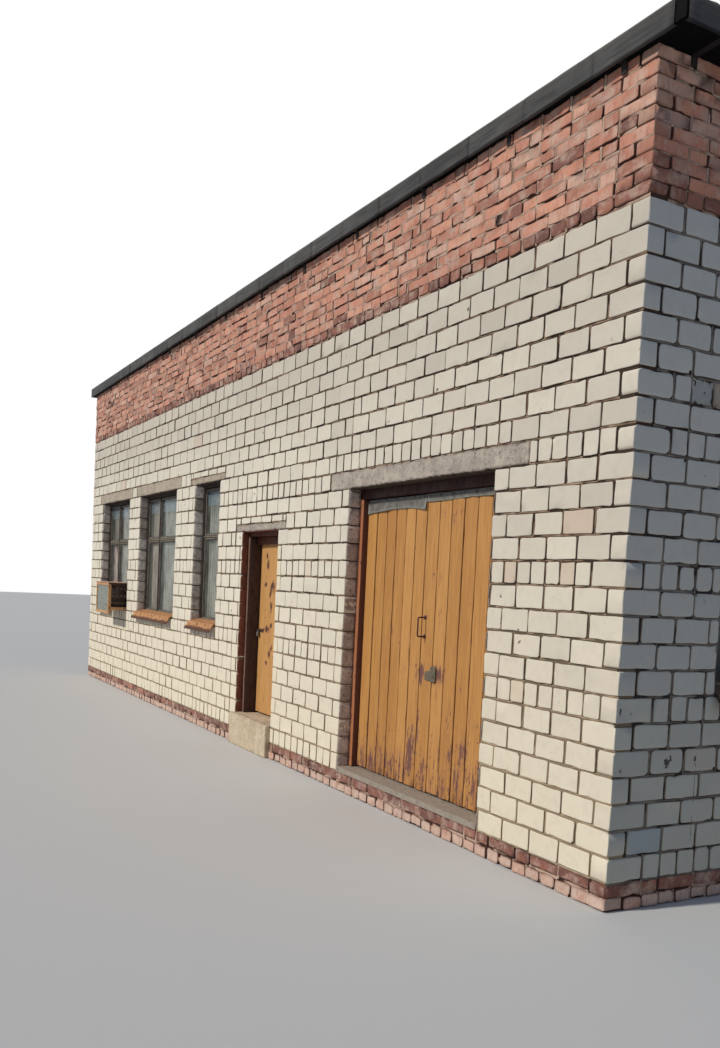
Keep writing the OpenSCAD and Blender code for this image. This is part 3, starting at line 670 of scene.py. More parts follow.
# %% Slabs with holes
def slab(w, u_range, z_range, depths, holes):
    """A slab on a wall between two depths, with holes (u0, u1, z0, z1)."""
    us = sorted({*u_range, *[h[i] for h in holes for i in (0, 1) if u_range[0] < h[i] < u_range[1]]})
    zs = sorted({*z_range, *[h[i] for h in holes for i in (2, 3) if z_range[0] < h[i] < z_range[1]]})
    solid = np.ones((len(us) - 1, len(zs) - 1), bool)
    for i in range(len(us) - 1):
        for j in range(len(zs) - 1):
            u, z = (us[i] + us[i + 1]) / 2, (zs[j] + zs[j + 1]) / 2
            solid[i, j] = not any(h[0] < u < h[1] and h[2] < z < h[3] for h in holes)
    points = np.array([(u, d, z) for d in depths for u in us for z in zs])
    nz, layer = len(zs), len(us) * len(zs)
    faces = []
    for i, j in np.argwhere(solid):
        a, b, c, d = i * nz + j, (i + 1) * nz + j, (i + 1) * nz + j + 1, i * nz + j + 1
        faces += [(a, b, c, d), (a + layer, d + layer, c + layer, b + layer)]
        for p, q, ni, nj in ((a, b, i, j - 1), (b, c, i + 1, j), (c, d, i, j + 1), (d, a, i - 1, j)):
            inside = 0 <= ni < solid.shape[0] and 0 <= nj < solid.shape[1]
            if not (inside and solid[ni, nj]):
                faces.append((q, p, p + layer, q + layer))
    return to_wall(w, points), outwards(w, faces), np.zeros(len(points)), np.ones(len(points))


MORTAR_BACK, CORE_BACK = 0.010, 0.014
HOLE_GROWTH, SILL_CLEARANCE = 0.004, 0.006
WALL_THICKNESS = BACK_WALL[1].y - solids("back_wall")[0][0].y
print("wall thickness", round(WALL_THICKNESS, 3))


def mortar_and_plaster(name, low, high):
    """The mortar layer and the inner wall of one side between two heights."""
    w = WALLS[name]
    end, inner_end = (MORTAR_BACK, BRICK_DEPTH) if name in LONG_SIDES else (BRICK_DEPTH, WALL_THICKNESS)
    holes = [h[:4] for h in wall_holes(w) if h[4]]
    grown = [(u0 - HOLE_GROWTH, u1 + HOLE_GROWTH, z0 - HOLE_GROWTH, z1 + HOLE_GROWTH)
             for u0, u1, z0, z1 in holes]
    clear = [(u0, u1, z0 - (SILL_CLEARANCE if z0 < 1 else 0.0), z1) for u0, u1, z0, z1 in holes]
    return [slab(w, (at, w["length"] - at), (low, high), depths, cuts) for at, depths, cuts in (
        (end, (MORTAR_BACK, BRICK_DEPTH), grown), (inner_end, (BRICK_DEPTH, WALL_THICKNESS), clear))]


def make_plaster():
    """Limewashed plaster of the room: off-white, slightly uneven, matt."""
    material, add = new_material("limewashed plaster")
    place = add("TexCoord").outputs["Object"]
    cloud = add("TexNoise", Vector=place, Scale=per_mm(400), Detail=6.0)
    colour = add("ValToRGB", cloud, stops=[(0.3, "#A9A393"), (0.7, "#C9C4B5")])
    return finish(material, add, colour, 0.92, cloud, 0.3, 4)


PLASTER = make_plaster()
for side in WALLS:
    outer, room = mortar_and_plaster(side, PALE_FOOT, PALE_TOP)
    make_piece(f"mortar_{side}", [outer] + pale_beads[side],
               END_MORTAR if side == "near_end" else PALE_MORTAR, slot="pale_brick", smooth=False)
    make_piece(f"plaster_{side}", [room], PLASTER, slot="pale_brick", smooth=False)

# %% [markdown]
# The band above is common red brick, half the height of the pale ones and laid in a hurry: lengths and
# joints vary, faces stand in and out, and much of the mortar is gone or smeared over the bricks. Its lowest
# course is dark headers. The same brick makes the plinth.

# %% Red common brick
def make_red_brick():
    material, add = new_material("red common brick")
    place = add("TexCoord").outputs["Object"]
    tone = add("Attribute", attribute_name="tone").outputs["Fac"]
    rim = add("Attribute", attribute_name="rim").outputs["Fac"]
    shade = add("ValToRGB", tone, stops=[(0.0, "#66443C"), (0.15, "#86594C"), (0.35, "#AF7762"),
        (0.55, "#C88B74"), (0.75, "#D5987D"), (0.92, "#D0AC99"), (1.0, "#D3BBAA")])
    fire = add("TexNoise", Vector=place, Scale=per_mm(90), Detail=5.0, Roughness=0.65)
    fired = cover(add, shade, fire, 0.5, 0.72, 0.6, "#B06E54")
    smear = add("TexNoise", Vector=place, Scale=per_mm(120), Detail=6.0, Roughness=0.7)
    limed = cover(add, fired, smear, 0.47, 0.64, 0.75, "#C6AC9B")
    drag_at = add("Mapping", Vector=place, Scale=(1, 1, 0.22))
    drag = add("TexNoise", Vector=drag_at, Scale=per_mm(13), Detail=4.0)
    scraped = cover(add, limed, drag, 0.54, 0.72, 0.4, "#8A5544")
    # Brick sides and rims are painted dark: dirt, and painted shade in the joints.
    edged = add("MixRGB", rim, scraped, "#5C3A2F")
    grain = add("TexNoise", Vector=place, Scale=per_mm(14), Detail=4.0, Roughness=0.7)
    coarse = add("Math", drag, grain)
    return finish(material, add, edged, 0.9, coarse, 1.0, 5, IOR=1.5)


RED_BRICK = make_red_brick()
RED_MORTAR = make_mortar("lime mortar of the red brick", "#C9AE9A", "#A98A76", "#3A2118")

# %% Courses of the red band and the plinth
RED_COURSE = 0.076


def red_course(w, z0, owns_corner, headers, tones, fine):
    """One rough course of small bricks along a wall, and its mortar."""
    start = 0.0 if owns_corner else HALF
    stop = w["length"] - start
    u, bricks, mortar = start, [], []
    while u < stop - 0.02:
        ends = owns_corner and (u < 0.001 or u + PITCH > stop - 0.02)
        short = headers or rng.random() < 0.25
        step = PITCH if ends else (HALF if short else PITCH) * rng.uniform(0.95, 1.06)
        step = min(step, stop - u)
        if stop - (u + step) < 0.06:
            step = stop - u
        a = u + (0 if u < 0.001 else rng.uniform(0.002, 0.008))
        b = u + step - (0 if u + step > w["length"] - 0.001 else rng.uniform(0.002, 0.008))
        low = z0 + rng.choice((0.001, 0.004, 0.011), p=(0.45, 0.35, 0.2)) + rng.uniform(0, 0.003)
        high = z0 + RED_COURSE - rng.uniform(0.0, 0.007)
        full = owns_corner and (u < 0.001 or u + step > w["length"] - 0.001)
        stretch = (6 if u < 5 else 4) if b - a > 0.16 else 3
        bricks.append(place_block(
            w, a, b, low, high, float(np.clip(rng.normal(*tones), 0, max(0.86, tones[0]))), edge=0.0035,
            corner=rng.uniform(0.005, 0.011) * (1.7 if headers else 1), cells=(stretch if fine else 1, 1),
            depth=BRICK_DEPTH if full else 0.022,
            proud=(0.007 if headers else 0.0) - min(abs(rng.normal(0, 0.0035)), 0.0075),
            tilt=rng.normal(0, 0.004), wobble=0.0021, relief=0.0016, chip=0.45 if fine else 0.0, full=full,
            plain=not fine))
        if z0 > 0:
            mortar.append(bead(w, (u, z0), (u + step, z0), 0.020, 0.0015, 0.003, 0.4, 1 if fine else 3))
        if u + step < w["length"] - 0.001:
            mortar.append(bead(w, (u + step, z0), (u + step, z0 + RED_COURSE), 0.020, 0.0015, 0.003, 0.3))
        u += step
    return bricks, mortar


def lay_red(name, low, high, fine):
    w = WALLS[name]
    bricks, mortar = [], []
    for k in range(round((high - low) / RED_COURSE)):
        owns = (k % 2 == 0) == (name in LONG_SIDES)
        lowest = k == 0
        tones = (0.12, 0.1) if lowest else (0.56, 0.2)
        # In the plinth every course above the lowest is dark: dark brick, and painted shade above the ledge
        # of the lowest course.
        if low < PALE_FOOT:
            tones = (0.97, 0.04) if lowest else (0.10, 0.08)
        more = red_course(w, low + k * RED_COURSE, owns, lowest, tones, fine)
        bricks += more[0]
        mortar += more[1]
    return bricks, mortar


RED_NODES = {"front": "red_wall_front", "back": "red_wall_back", "near_end": "red_walls_end",
             "far_end": "red_walls_end"}
for side, w in WALLS.items():
    end = CORE_BACK if side in LONG_SIDES else WALL_THICKNESS
    for label, low, high, node in (("red", PALE_TOP, WALL_TOP, RED_NODES[side]),
                                   ("plinth", 0.0, PALE_FOOT, "plinth")):
        bricks, mortar = lay_red(side, low, high, side in SEEN_SIDES)
        make_piece(f"{label}_bricks_{side}", bricks, RED_BRICK, slot="red_brick", stands_for=[node])
        core = slab(w, (end, w["length"] - end), (low, high), (CORE_BACK, WALL_THICKNESS), [])
        make_piece(f"{label}_mortar_{side}", [core] + mortar, RED_MORTAR, slot="red_brick", smooth=False)

# %% [markdown]
# The lintels and the step are concrete, cast in plain board moulds and never finished. Sand and lime show
# through where the skin has weathered off: it is rough, pinkish grey, speckled and pitted, with dirt in the
# hollows. One noise gives the clouds, a finer one the sand, and a third the pits.

# %% Cast concrete
def make_concrete(name, pale, dark, pit):
    material, add = new_material(name)
    place = add("TexCoord").outputs["Object"]
    rim = add("Attribute", attribute_name="rim").outputs["Fac"]
    cloud = add("TexNoise", Vector=place, Scale=per_mm(150), Detail=5.0, Roughness=0.6)
    tone = add("Attribute", attribute_name="tone").outputs["Fac"]
    cast = add("MapRange", tone, 0.0, 1.0, -0.2, 0.2)
    clouded = add("Math", cloud, cast)
    body = add("ValToRGB", clouded, stops=[(0.35, dark), (0.65, pale)])
    sand = add("TexNoise", Vector=place, Scale=per_mm(9), Detail=3.0, Roughness=0.7)
    sanded = cover(add, body, sand, 0.52, 0.66, 0.65, pit)
    worn = add("TexNoise", Vector=place, Scale=per_mm(28), Detail=4.0, Roughness=0.65)
    hollow = add("MapRange", worn, 0.57, 0.68, 0.0, 0.75)
    pitted = add("MixRGB", hollow, sanded, pit)
    edged = add("MixRGB", rim, pitted, pit)
    relief = add("Math", hollow, -1.0, sand, operation="MULTIPLY_ADD")
    return finish(material, add, edged, 0.92, relief, 0.9, 5, IOR=1.5)


CONCRETE = make_concrete("rough cast concrete", "#C2B7A6", "#A0948A", "#746860")
SLAB = make_concrete("trowelled concrete", "#B5AA9A", "#9D9284", "#7F756A")

# %% Lintels and the door's step
def concrete_block(w, u0, u1, z0, z1, depth, back=0.0, wobble=0.0028, tone=0.5):
    cells = (max(2, round((u1 - u0) / 0.035)), 4)
    return place_block(w, u0, u1, z0, z1, tone, edge=0.007, corner=0.016, cells=cells, depth=depth,
                       back=back, wobble=wobble, relief=0.0022, chip=0.9, closed=True)


LINTEL_SETBACK = 0.002
BEIGE_CONCRETE = make_concrete("weathered beige concrete", "#B9AC99", "#A19382", "#7E7060")
for label, node, tone in (("gate", "gate_lintel", 0.45), ("door", "door_lintel", 0.5),
                          ("windows", "window_lintels", 0.7)):
    parts = [concrete_block(w, u0 + 0.004, u1 - 0.004, z0 + 0.003, z1 - 0.004,
                            WALL_THICKNESS - LINTEL_SETBACK, LINTEL_SETBACK, tone=tone)
             for w in WALLS.values() for box in solids(node) if on_wall(w, box)
             for u0, u1, z0, z1 in [on_wall(w, box)]]
    make_piece(f"lintels_{label}", parts, BEIGE_CONCRETE if label == "windows" else CONCRETE,
               slot="concrete", stands_for=[node])

STEP_OUT = FRONT_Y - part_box("door_step")[0].y
DOOR_U = on_wall(FRONT, DOOR)
step_u = on_wall(FRONT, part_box("door_step"))
STEP_CONCRETE = make_concrete("hand-cast concrete of the step", "#D9C8AC", "#C3B093", "#9A8972")
make_piece("door_step_concrete", [
    concrete_block(FRONT, step_u[0] + 0.002, step_u[1], 0.0, step_u[3], STEP_OUT + 0.012, -STEP_OUT),
    concrete_block(FRONT, DOOR_U[0], DOOR_U[1], PALE_FOOT, step_u[3] - 0.002, WALL_THICKNESS - 0.010, 0.010),
], STEP_CONCRETE, slot="concrete", stands_for=["door_step"])

# %% [markdown]
# The doors, the gate, the frames and the cage are softwood under oil paint that nobody has renewed. Such
# paint fades in upright streaks, cracks along the grain and falls off in flakes, first at the foot, where
# rain splashes, and where hands and locks rub. So one material takes a fresh and a faded colour, the colour
# under the paint, how much has flaked in general, the height below which it flakes more, and rubbed spots.

# %% Worn oil paint on wood
def make_paint(name, fresh, faded, bare, flaked=0.0, foot=None, rubbed=(), rough=0.55, grain=(1, 1, 0.06),
               chips=0.0, inner=None, run=0.35, gloss_level=0.5, crack_shade=None):
    material, add = new_material(name)
    place = add("TexCoord").outputs["Object"]
    tone = add("Attribute", attribute_name="tone").outputs["Fac"]
    rim = add("Attribute", attribute_name="rim").outputs["Fac"]
    along = add("Mapping", Vector=place, Scale=grain)
    streak = add("TexNoise", Vector=along, Scale=per_mm(22), Detail=5.0)
    lift = add("MapRange", tone, 0.0, 1.0, -0.18, 0.18)
    faded_by = add("Math", streak, lift)
    coat = add("ValToRGB", faded_by, stops=[(0.34, fresh), (0.66, faded)])
    flake_at = add("Mapping", Vector=place, Scale=(1, 1, run))
    flake = add("TexNoise", Vector=flake_at, Scale=per_mm(38), Detail=6.0, Roughness=0.68)
    amount = add("Math", flake, flaked)
    if foot:
        height = add("SeparateXYZ", place).outputs["Z"]
        low = add("MapRange", height, foot[0], foot[1], foot[2], 0.0)
        amount = add("Math", amount, low)
    for spot, reach, strength in rubbed:
        from_spot = add("Mapping", Vector=place, Location=spot, Scale=reach, vector_type="TEXTURE")
        far = add("VectorMath", from_spot, operation="LENGTH")
        near = add("MapRange", far.outputs["Value"], 0.0, 1.0, strength, 0.0)
        amount = add("Math", amount, near)
    chip_at = add("Mapping", Vector=place, Scale=(1, 1, 0.45))
    chip = add("TexNoise", Vector=chip_at, Scale=per_mm(17), Detail=4.0)
    loose = add("Math", amount, 0.8, chips - 0.4, operation="MULTIPLY_ADD")
    small = add("Math", chip, loose)
    worst = add("Math", amount, small, operation="MAXIMUM")
    gone = add("MapRange", worst, 0.67, 0.72, 0.0, 0.92)
    thinned = cover(add, coat, amount, 0.52, 0.72, 0.6, bare[0])
    chipped = add("MixRGB", gone, thinned, bare[1])
    # Block sides and rims are darkened by rim; on the gate's boards and the layer behind them this is painted
    # shade in the cracks.
    edged = cover(add, chipped, rim, 0.25, 1.0, 0.9, crack_shade or bare[1])
    # inner paints the sides that face the near end, away from the sun, darker: painted shade.
    if inner:
        normal = add("NewGeometry").outputs["Normal"]
        facing = add("SeparateXYZ", normal).outputs["X"]
        edged = cover(add, edged, facing, 0.4, 0.8, 0.9, inner)
    relief = add("Math", gone, -1.5, streak, operation="MULTIPLY_ADD")
    gloss = add("MapRange", amount, 0.45, 0.7, rough, 0.9)
    return finish(material, add, edged, gloss, relief, 0.5, 1, IOR=1.5, Specular_IOR_Level=gloss_level)


# %% [markdown]
# Rusty fittings are mild steel that was painted once: dark scale, with brown rust in patches.

# %% Rusty iron
def make_rust(name, dark, rust, bright):
    material, add = new_material(name)
    place = add("TexCoord").outputs["Object"]
    bloom = add("TexNoise", Vector=place, Scale=per_mm(18), Detail=6.0, Roughness=0.7)
    colour = add("ValToRGB", bloom, stops=[(0.36, dark), (0.54, rust), (0.72, bright)])
    return finish(material, add, colour, 0.82, bloom, 0.6, 1, Metallic=0.15)


IRON = make_rust("rusty mild steel", "#241A17", "#4A2E24", "#7A4A35")

# %% [markdown]
# Two more building helpers. A rod is a round bar bent along a line of points. A panel is any thin sheet: a
# grid of places and the same grid moved by its thickness, closed round the edge.

# %% Rods and panels
def rod(path, radius, sides=10, tone=0.5):
    """A round bar along a list of places."""
    path = [Vector(p) for p in path]
    points, faces = [], []
    for i, place in enumerate(path):
        ahead = (path[min(i + 1, len(path) - 1)] - path[max(i - 1, 0)]).normalized()
        across = (across - ahead * across.dot(ahead) if i else ahead.orthogonal()).normalized()
        up = ahead.cross(across)
        for k in range(sides):
            turn = 2 * math.pi * k / sides
            points.append(place + radius * (math.cos(turn) * across + math.sin(turn) * up))
    for i in range(len(path) - 1):
        for k in range(sides):
            a, b = i * sides + k, i * sides + (k + 1) % sides
            faces.append((a, b, b + sides, a + sides))
    faces += [tuple(range(sides))[::-1], tuple(range(len(points) - sides, len(points)))]
    return np.array(points), faces, np.full(len(points), tone), np.zeros(len(points))


def panel(grid, offset, tone=0.5, edge_rim=0.3):
    """A sheet from a grid of places, shape (m, n, 3), thickened by offset away from its seen side."""
    m, n = grid.shape[:2]
    seen = grid.reshape(-1, 3)
    points = np.concatenate([seen, seen + np.array(offset)])
    ids = np.arange(m * n).reshape(m, n)
    quads = [(ids[i, j], ids[i + 1, j], ids[i + 1, j + 1], ids[i, j + 1])
             for i in range(m - 1) for j in range(n - 1)]
    ring = np.concatenate([ids[:-1, 0], ids[-1, :-1], ids[:0:-1, -1], ids[0, :0:-1]])
    faces = quads + [tuple(k + m * n for k in q[::-1]) for q in quads]
    after = np.roll(ring, -1)
    faces += [(b, a, a + m * n, b + m * n) for a, b in zip(ring, after)]
    first = np.cross(grid[1, 0] - grid[0, 0], grid[0, 1] - grid[0, 0])
    if np.dot(first, offset) > 0:
        faces = [f[::-1] for f in faces]
    rim = np.zeros(len(points))
    rim[ring] = edge_rim
    return points, faces, np.full(len(points), tone), rim


# %% [markdown]
# The gate is made like any yard gate: upright boards nailed to three ledges, with braces that run up from
# the hinge side. The boards have shrunk, so dark uneven cracks part them. Each board is a worn block of its
# own width; a thin layer behind the cracks stands for their tongues, and it and the boards' sides are painted
# dark: painted shade in the cracks. The paint is ochre. It has gone pink and purple-brown at the foot, round
# the lock and along the meeting edges.

# %% Gate leaves
GATE_U = on_wall(FRONT, GATE)
POST, GATE_HEAD, MEETING_SHIFT = 0.058, 0.078, 0.036
LEAF_GAP, MEETING_GAP, FOOT_GAP = 0.006, 0.009, 0.016
MEETING = (GATE_U[0] + GATE_U[1]) / 2 + MEETING_SHIFT
LEAF_FOOT, LEAF_TOP = GATE_U[2] + FOOT_GAP, GATE_U[3] - GATE_HEAD - LEAF_GAP
LEAF_FRONT, BOARD, LEDGE, LEDGE_H = 0.159, 0.028, 0.035, 0.12
BRACE_W = 0.11
AXIS_BACK = 0.015
LEAVES = {"right": (GATE_U[0] + POST + LEAF_GAP, MEETING - MEETING_GAP / 2),
          "left": (MEETING + MEETING_GAP / 2, GATE_U[1] - POST - LEAF_GAP)}
# The two spots at 1.95 m darken the boards' tops beside the flaps: worn paint, and painted shade under the
# lintel.
GATE_RUBS = [  # from the meeting line, above the plinth, half width, half height, strength
    (-0.02, 0.90, 0.08, 0.10, 0.30), (-0.26, 0.92, 0.13, 0.11, 0.27), (-0.10, 0.91, 0.40, 0.14, 0.13),
    (0.07, 0.33, 0.09, 0.30, 0.24), (-0.02, 0.55, 0.05, 0.40, 0.17), (-0.60, 0.45, 0.50, 0.40, 0.10),
    (0.60, 0.14, 0.50, 0.16, 0.08), (0.10, 1.95, 0.12, 0.16, 0.09), (-0.35, 1.95, 0.20, 0.18, 0.09),
    (-0.225, 1.62, 0.015, 0.06, 0.25), (-0.225, 1.36, 0.015, 0.05, 0.25), (-0.24, 0.78, 0.012, 0.10, 0.25)]
# The boards' sides take the dark seam colour: painted shade in the cracks.
OCHRE_GATE = make_paint(
    "worn ochre oil paint on gate boards", "#AE7838", "#C08A49", ("#A0704E", "#684340"), flaked=-0.035,
    crack_shade="#7A4A1C", foot=(PALE_FOOT, PALE_FOOT + 0.60, 0.19), chips=-0.017, run=0.16, rubbed=[
        (tuple(at_front(MEETING + u, LEAF_FRONT, PALE_FOOT + z)), (wide, 0.1, tall), strength)
        for u, z, wide, tall, strength in GATE_RUBS])
# The layer behind the cracks takes the dark seam colour: painted shade in the cracks.
OCHRE_BACK = make_paint("thin ochre oil paint", "#B98A55", "#C4996A", ("#A9835F", "#2E1F18"), flaked=0.02,
                        crack_shade="#5A3414")


def hinge_heights(low, high, is_gate=True):
    return [low + 0.22, low + (high - low) / 2, high - 0.28] if is_gate else [low + 0.20, high - 0.294]


def strap_hinge(axis_u, z, towards, length, post):
    """The moving and the fixed half of one hinge, as two lists of parts."""
    axis_depth = LEAF_FRONT + BOARD + LEDGE + AXIS_BACK if post == POST else DOOR_BACK + AXIS_BACK
    foot = at_front(axis_u, axis_depth, z)
    up = Vector((0, 0, 1))
    a, b = sorted((axis_u + towards * 0.003, axis_u + towards * length))
    strap = place_block(FRONT, a, b, z + 0.010, z + 0.050, 0.5, edge=0.0015, corner=0.012, cells=(6, 1),
                        depth=0.006, back=axis_depth - AXIS_BACK, closed=True, wobble=0.0004, relief=0.0002)
    c, d = sorted((axis_u, axis_u + towards * 0.014))
    wrap = place_block(FRONT, c, d, z + 0.010, z + 0.050, 0.5, depth=AXIS_BACK, back=axis_depth - AXIS_BACK,
                       **FORGED)
    knuckle = rod([foot + up * 0.0005, foot + up * 0.0595], 0.0098, 14)
    e, f = sorted((axis_u, axis_u - towards * post))
    lug = place_block(FRONT, e, f, z - 0.011, z - 0.0015, 0.5, depth=0.024, back=axis_depth - AXIS_BACK,
                      **FORGED)
    pin = rod([foot - up * 0.011, foot + up * 0.058], 0.0058, 12)
    return [strap, wrap, knuckle], [lug, pin]


def brace(u0, u1, z0, z1, width):
    """A sloping timber between two ledges, from u0 at z0 to u1 at z1."""
    points, faces, tone, rim = place_block(
        FRONT, u0, u0 + width, z0, z1, 0.4, edge=0.003, corner=0.008, cells=(1, 8), depth=LEDGE,
        back=LEAF_FRONT + BOARD, closed=True)
    shear = (points[:, 2:] - z0) / (z1 - z0) * (u1 - u0)
    return points + shear * np.array(FRONT["along"]), faces, tone, rim


def build_leaf(side):
    """Boards, ledges, braces and straps of one leaf. Gives what stays on the frame."""
    u0, u1 = LEAVES[side]
    moves = {"body": f"gate_{side}", "stands_for": [f"gate_leaf_{side}"]}
    hinge_u, free_u = (u0, u1) if side == "right" else (u1, u0)
    towards = 1 if free_u > hinge_u else -1
    cuts = np.linspace(u0, u1, 7)
    cuts[1:-1] += rng.normal(0, 0.005, 5)
    boards = []
    for a, b in zip(cuts[:-1], cuts[1:]):
        a += 0 if a == u0 else rng.uniform(0.0030, 0.0052)
        b -= 0 if b == u1 else rng.uniform(0.0030, 0.0052)
        boards.append(place_block(
            FRONT, a, b, LEAF_FOOT - 0.008 + rng.uniform(0, 0.006), LEAF_TOP - rng.uniform(0, 0.003),
            rng.random(), edge=0.004, corner=0.007, cells=(4, 22), depth=BOARD,
            back=LEAF_FRONT + rng.uniform(0, 0.0025), wobble=0.0014, relief=0.0006, chip=0.9, closed=True,
            cup=rng.uniform(0.0, 0.004), side_rim=0.75))
    make_piece(f"gate_boards_{side}", boards, OCHRE_GATE, slot="ochre_timber", **moves)
    tongues = slab(FRONT, (u0 + 0.004, u1 - 0.004), (LEAF_FOOT + 0.008, LEAF_TOP - 0.005),
                   (LEAF_FRONT + BOARD - 0.006, LEAF_FRONT + BOARD - 0.001), [])
    ledges = [LEAF_FOOT + 0.14, LEAF_FOOT + (LEAF_TOP - LEAF_FOOT) / 2 - 0.06, LEAF_TOP - 0.26]
    a, b = sorted((hinge_u, free_u - towards * 0.02))
    backs = [tongues] + [place_block(FRONT, a, b, z, z + LEDGE_H, rng.random(), cells=(8, 1), depth=LEDGE,
                                     back=LEAF_FRONT + BOARD, **SAWN) for z in ledges]
    start = hinge_u + towards * 0.06 - BRACE_W * (towards < 0)
    stop = free_u - towards * 0.04 - BRACE_W * (towards > 0)
    backs += [brace(start, stop, low + LEDGE_H, high, BRACE_W) for low, high in zip(ledges[:-1], ledges[1:])]
    make_piece(f"gate_ledges_{side}", backs, OCHRE_BACK, slot="ochre_timber", **moves)
    moving, fixed = [], []
    for z in hinge_heights(LEAF_FOOT, LEAF_TOP):
        more = strap_hinge(hinge_u - towards * LEAF_GAP / 2, z, towards, 0.26, POST)
        moving += more[0]
        fixed += more[1]
    make_piece(f"gate_straps_{side}", moving, IRON, slot="iron", **moves)
    return fixed


DOOR_BACK = 0.245
gate_pins = build_leaf("right") + build_leaf("left")

# %% Gate frame
# The posts' sides that face the near end are painted dark: painted shade.
BROWN_GATE = make_paint("red-brown oil paint", "#9C5C3A", "#B4754C", ("#A06A4C", "#5A3428"), flaked=0.02,
                        chips=0.02, inner="#43190E")
# The gate's head lies in the lintel's shadow, so its paint is a near black copy: painted shade.
BROWN_HEAD = make_paint("red-brown oil paint darkened as painted shade", "#2B1511", "#3C211B", ("#3A241D", "#1C100D"), flaked=0.0,
                        gloss_level=0.2)
FRAME_BACK, HEAD_FOOT = 0.112, GATE_U[3] - GATE_HEAD
framing = {"depth": 0.110, "back": FRAME_BACK, **SAWN}
posts = [place_block(FRONT, u, u + POST, GATE_U[2], HEAD_FOOT, 0.5, cells=(1, 16), chip=0.6, **framing)
         for u in (GATE_U[0], GATE_U[1] - POST)]
head = place_block(FRONT, GATE_U[0], GATE_U[1], HEAD_FOOT, GATE_U[3], 0.4, cells=(16, 1), **framing)
make_piece("gate_frame_timber", posts, BROWN_GATE, slot="brown_timber", stands_for=["gate_frame"])
make_piece("gate_frame_head", [head], BROWN_HEAD, slot="brown_timber", stands_for=["gate_frame"])
make_piece("gate_pins", gate_pins, IRON, slot="iron", stands_for=["gate_frame"])

# %% [markdown]
# A strip of grey sheet rubber is nailed across the top of each leaf, against the rain. It has stiffened and
# curls away at its lower edge, the left one more. Each is a panel whose grid leans out and waves.

# %% Rubber flaps
def make_rubber():
    material, add = new_material("weathered sheet rubber")
    place = add("TexCoord").outputs["Object"]
    rim = add("Attribute", attribute_name="rim").outputs["Fac"]
    bloom = add("TexNoise", Vector=place, Scale=per_mm(55), Detail=5.0)
    body = add("ValToRGB", bloom, stops=[(0.35, "#4F4D48"), (0.68, "#77756E")])
    edged = add("MixRGB", rim, body, "#A3A59D")
    return finish(material, add, edged, 0.75, bloom, 0.4, 2, IOR=1.52)


RUBBER = make_rubber()
FLAPS = {"left": (0.102, 0.002, 0.010), "right": (0.054, 0.0, 0.005)}  # foot and top under the leaf's, curl
for side, (foot, top, curl) in FLAPS.items():
    u0, u1, z0, z1 = LEAVES[side][0] + 0.002, LEAVES[side][1] - 0.002, LEAF_TOP - foot, LEAF_TOP - top
    us, rows = np.linspace(u0, u1, 30), np.linspace(0, 1, 6)
    wave = 0.5 + 0.5 * np.sin(us * 9.0 + 1.0) + 0.25 * np.sin(us * 23.0)
    arch = (2 * (us - u0) / (u1 - u0) - 1) ** 2
    sag = 0.022 * (arch - 0.5) * (side == "left") + 0.003 * np.sin(us * 7.0) + rng.normal(0, 0.0012, len(us))
    grid = [[(u, LEAF_FRONT - 0.005 - curl * wave[i] * r ** 2, z1 - (z1 - z0 + sag[i]) * r) for r in rows]
            for i, u in enumerate(us)]
    flap = panel(grid_to_wall(FRONT, grid), (0, 0.0045, 0), edge_rim=0.8)
    nails = [rod([at_front(u, LEAF_FRONT - 0.0085, z1 - 0.014),
                  at_front(u, LEAF_FRONT - 0.004, z1 - 0.014)], 0.006, 8)
             for u in np.linspace(u0 + 0.03, u1 - 0.03, 7)]
    make_piece(f"flap_{side}", [flap], RUBBER, body=f"gate_{side}", slot="flap_rubber",
               stands_for=[f"gate_flap_{side}"])
    make_piece(f"flap_nails_{side}", nails, IRON, body=f"gate_{side}", slot="iron")

# %% Handle and lock of the gate
def bent(points, radius, steps=5):
    """A line through points with its corners rounded to a radius."""
    line = [Vector(points[0])]
    for before, at, after in zip(points[:-2], points[1:-1], points[2:]):
        before, at, after = Vector(before), Vector(at), Vector(after)
        start, stop = at + (before - at).normalized() * radius, at + (after - at).normalized() * radius
        for k in range(steps + 1):
            t = k / steps
            line.append((1 - t) ** 2 * start + 2 * t * (1 - t) * at + t ** 2 * stop)
    return line + [Vector(points[-1])]


handle_u, handle_z, grip, reach = MEETING - 0.05, PALE_FOOT + 1.18, 0.14, 0.062
corners = [(LEAF_FRONT, handle_z), (LEAF_FRONT - reach, handle_z), (LEAF_FRONT - reach, handle_z + grip),
           (LEAF_FRONT, handle_z + grip)]
handle = [rod(bent([at_front(handle_u, d, z) for d, z in corners], 0.014), 0.006, 12)]
handle += [rod([at_front(handle_u, LEAF_FRONT, z), at_front(handle_u, LEAF_FRONT - 0.004, z)], 0.016, 16)
           for z in (handle_z, handle_z + grip)]
LOCK_RUST = make_rust("rusty painted steel", "#3A2320", "#5F3B36", "#83574F")
make_piece("gate_handle_rod", handle, LOCK_RUST, body="gate_right", slot="iron", stands_for=["gate_handle"])
lock_u = MEETING - 0.165
lock = [place_block(FRONT, lock_u - 0.07, lock_u, PALE_FOOT + 0.86, PALE_FOOT + 0.97, 0.5, edge=0.002,
                    corner=0.008, cells=(2, 3), depth=0.012, back=LEAF_FRONT - 0.012, closed=True,
                    wobble=0.0006, relief=0.0004, chip=0.0)]
lock.append(rod([at_front(lock_u - 0.035, LEAF_FRONT - 0.012, PALE_FOOT + 0.904),
                 at_front(lock_u - 0.035, LEAF_FRONT - 0.015, PALE_FOOT + 0.904)], 0.014, 18))
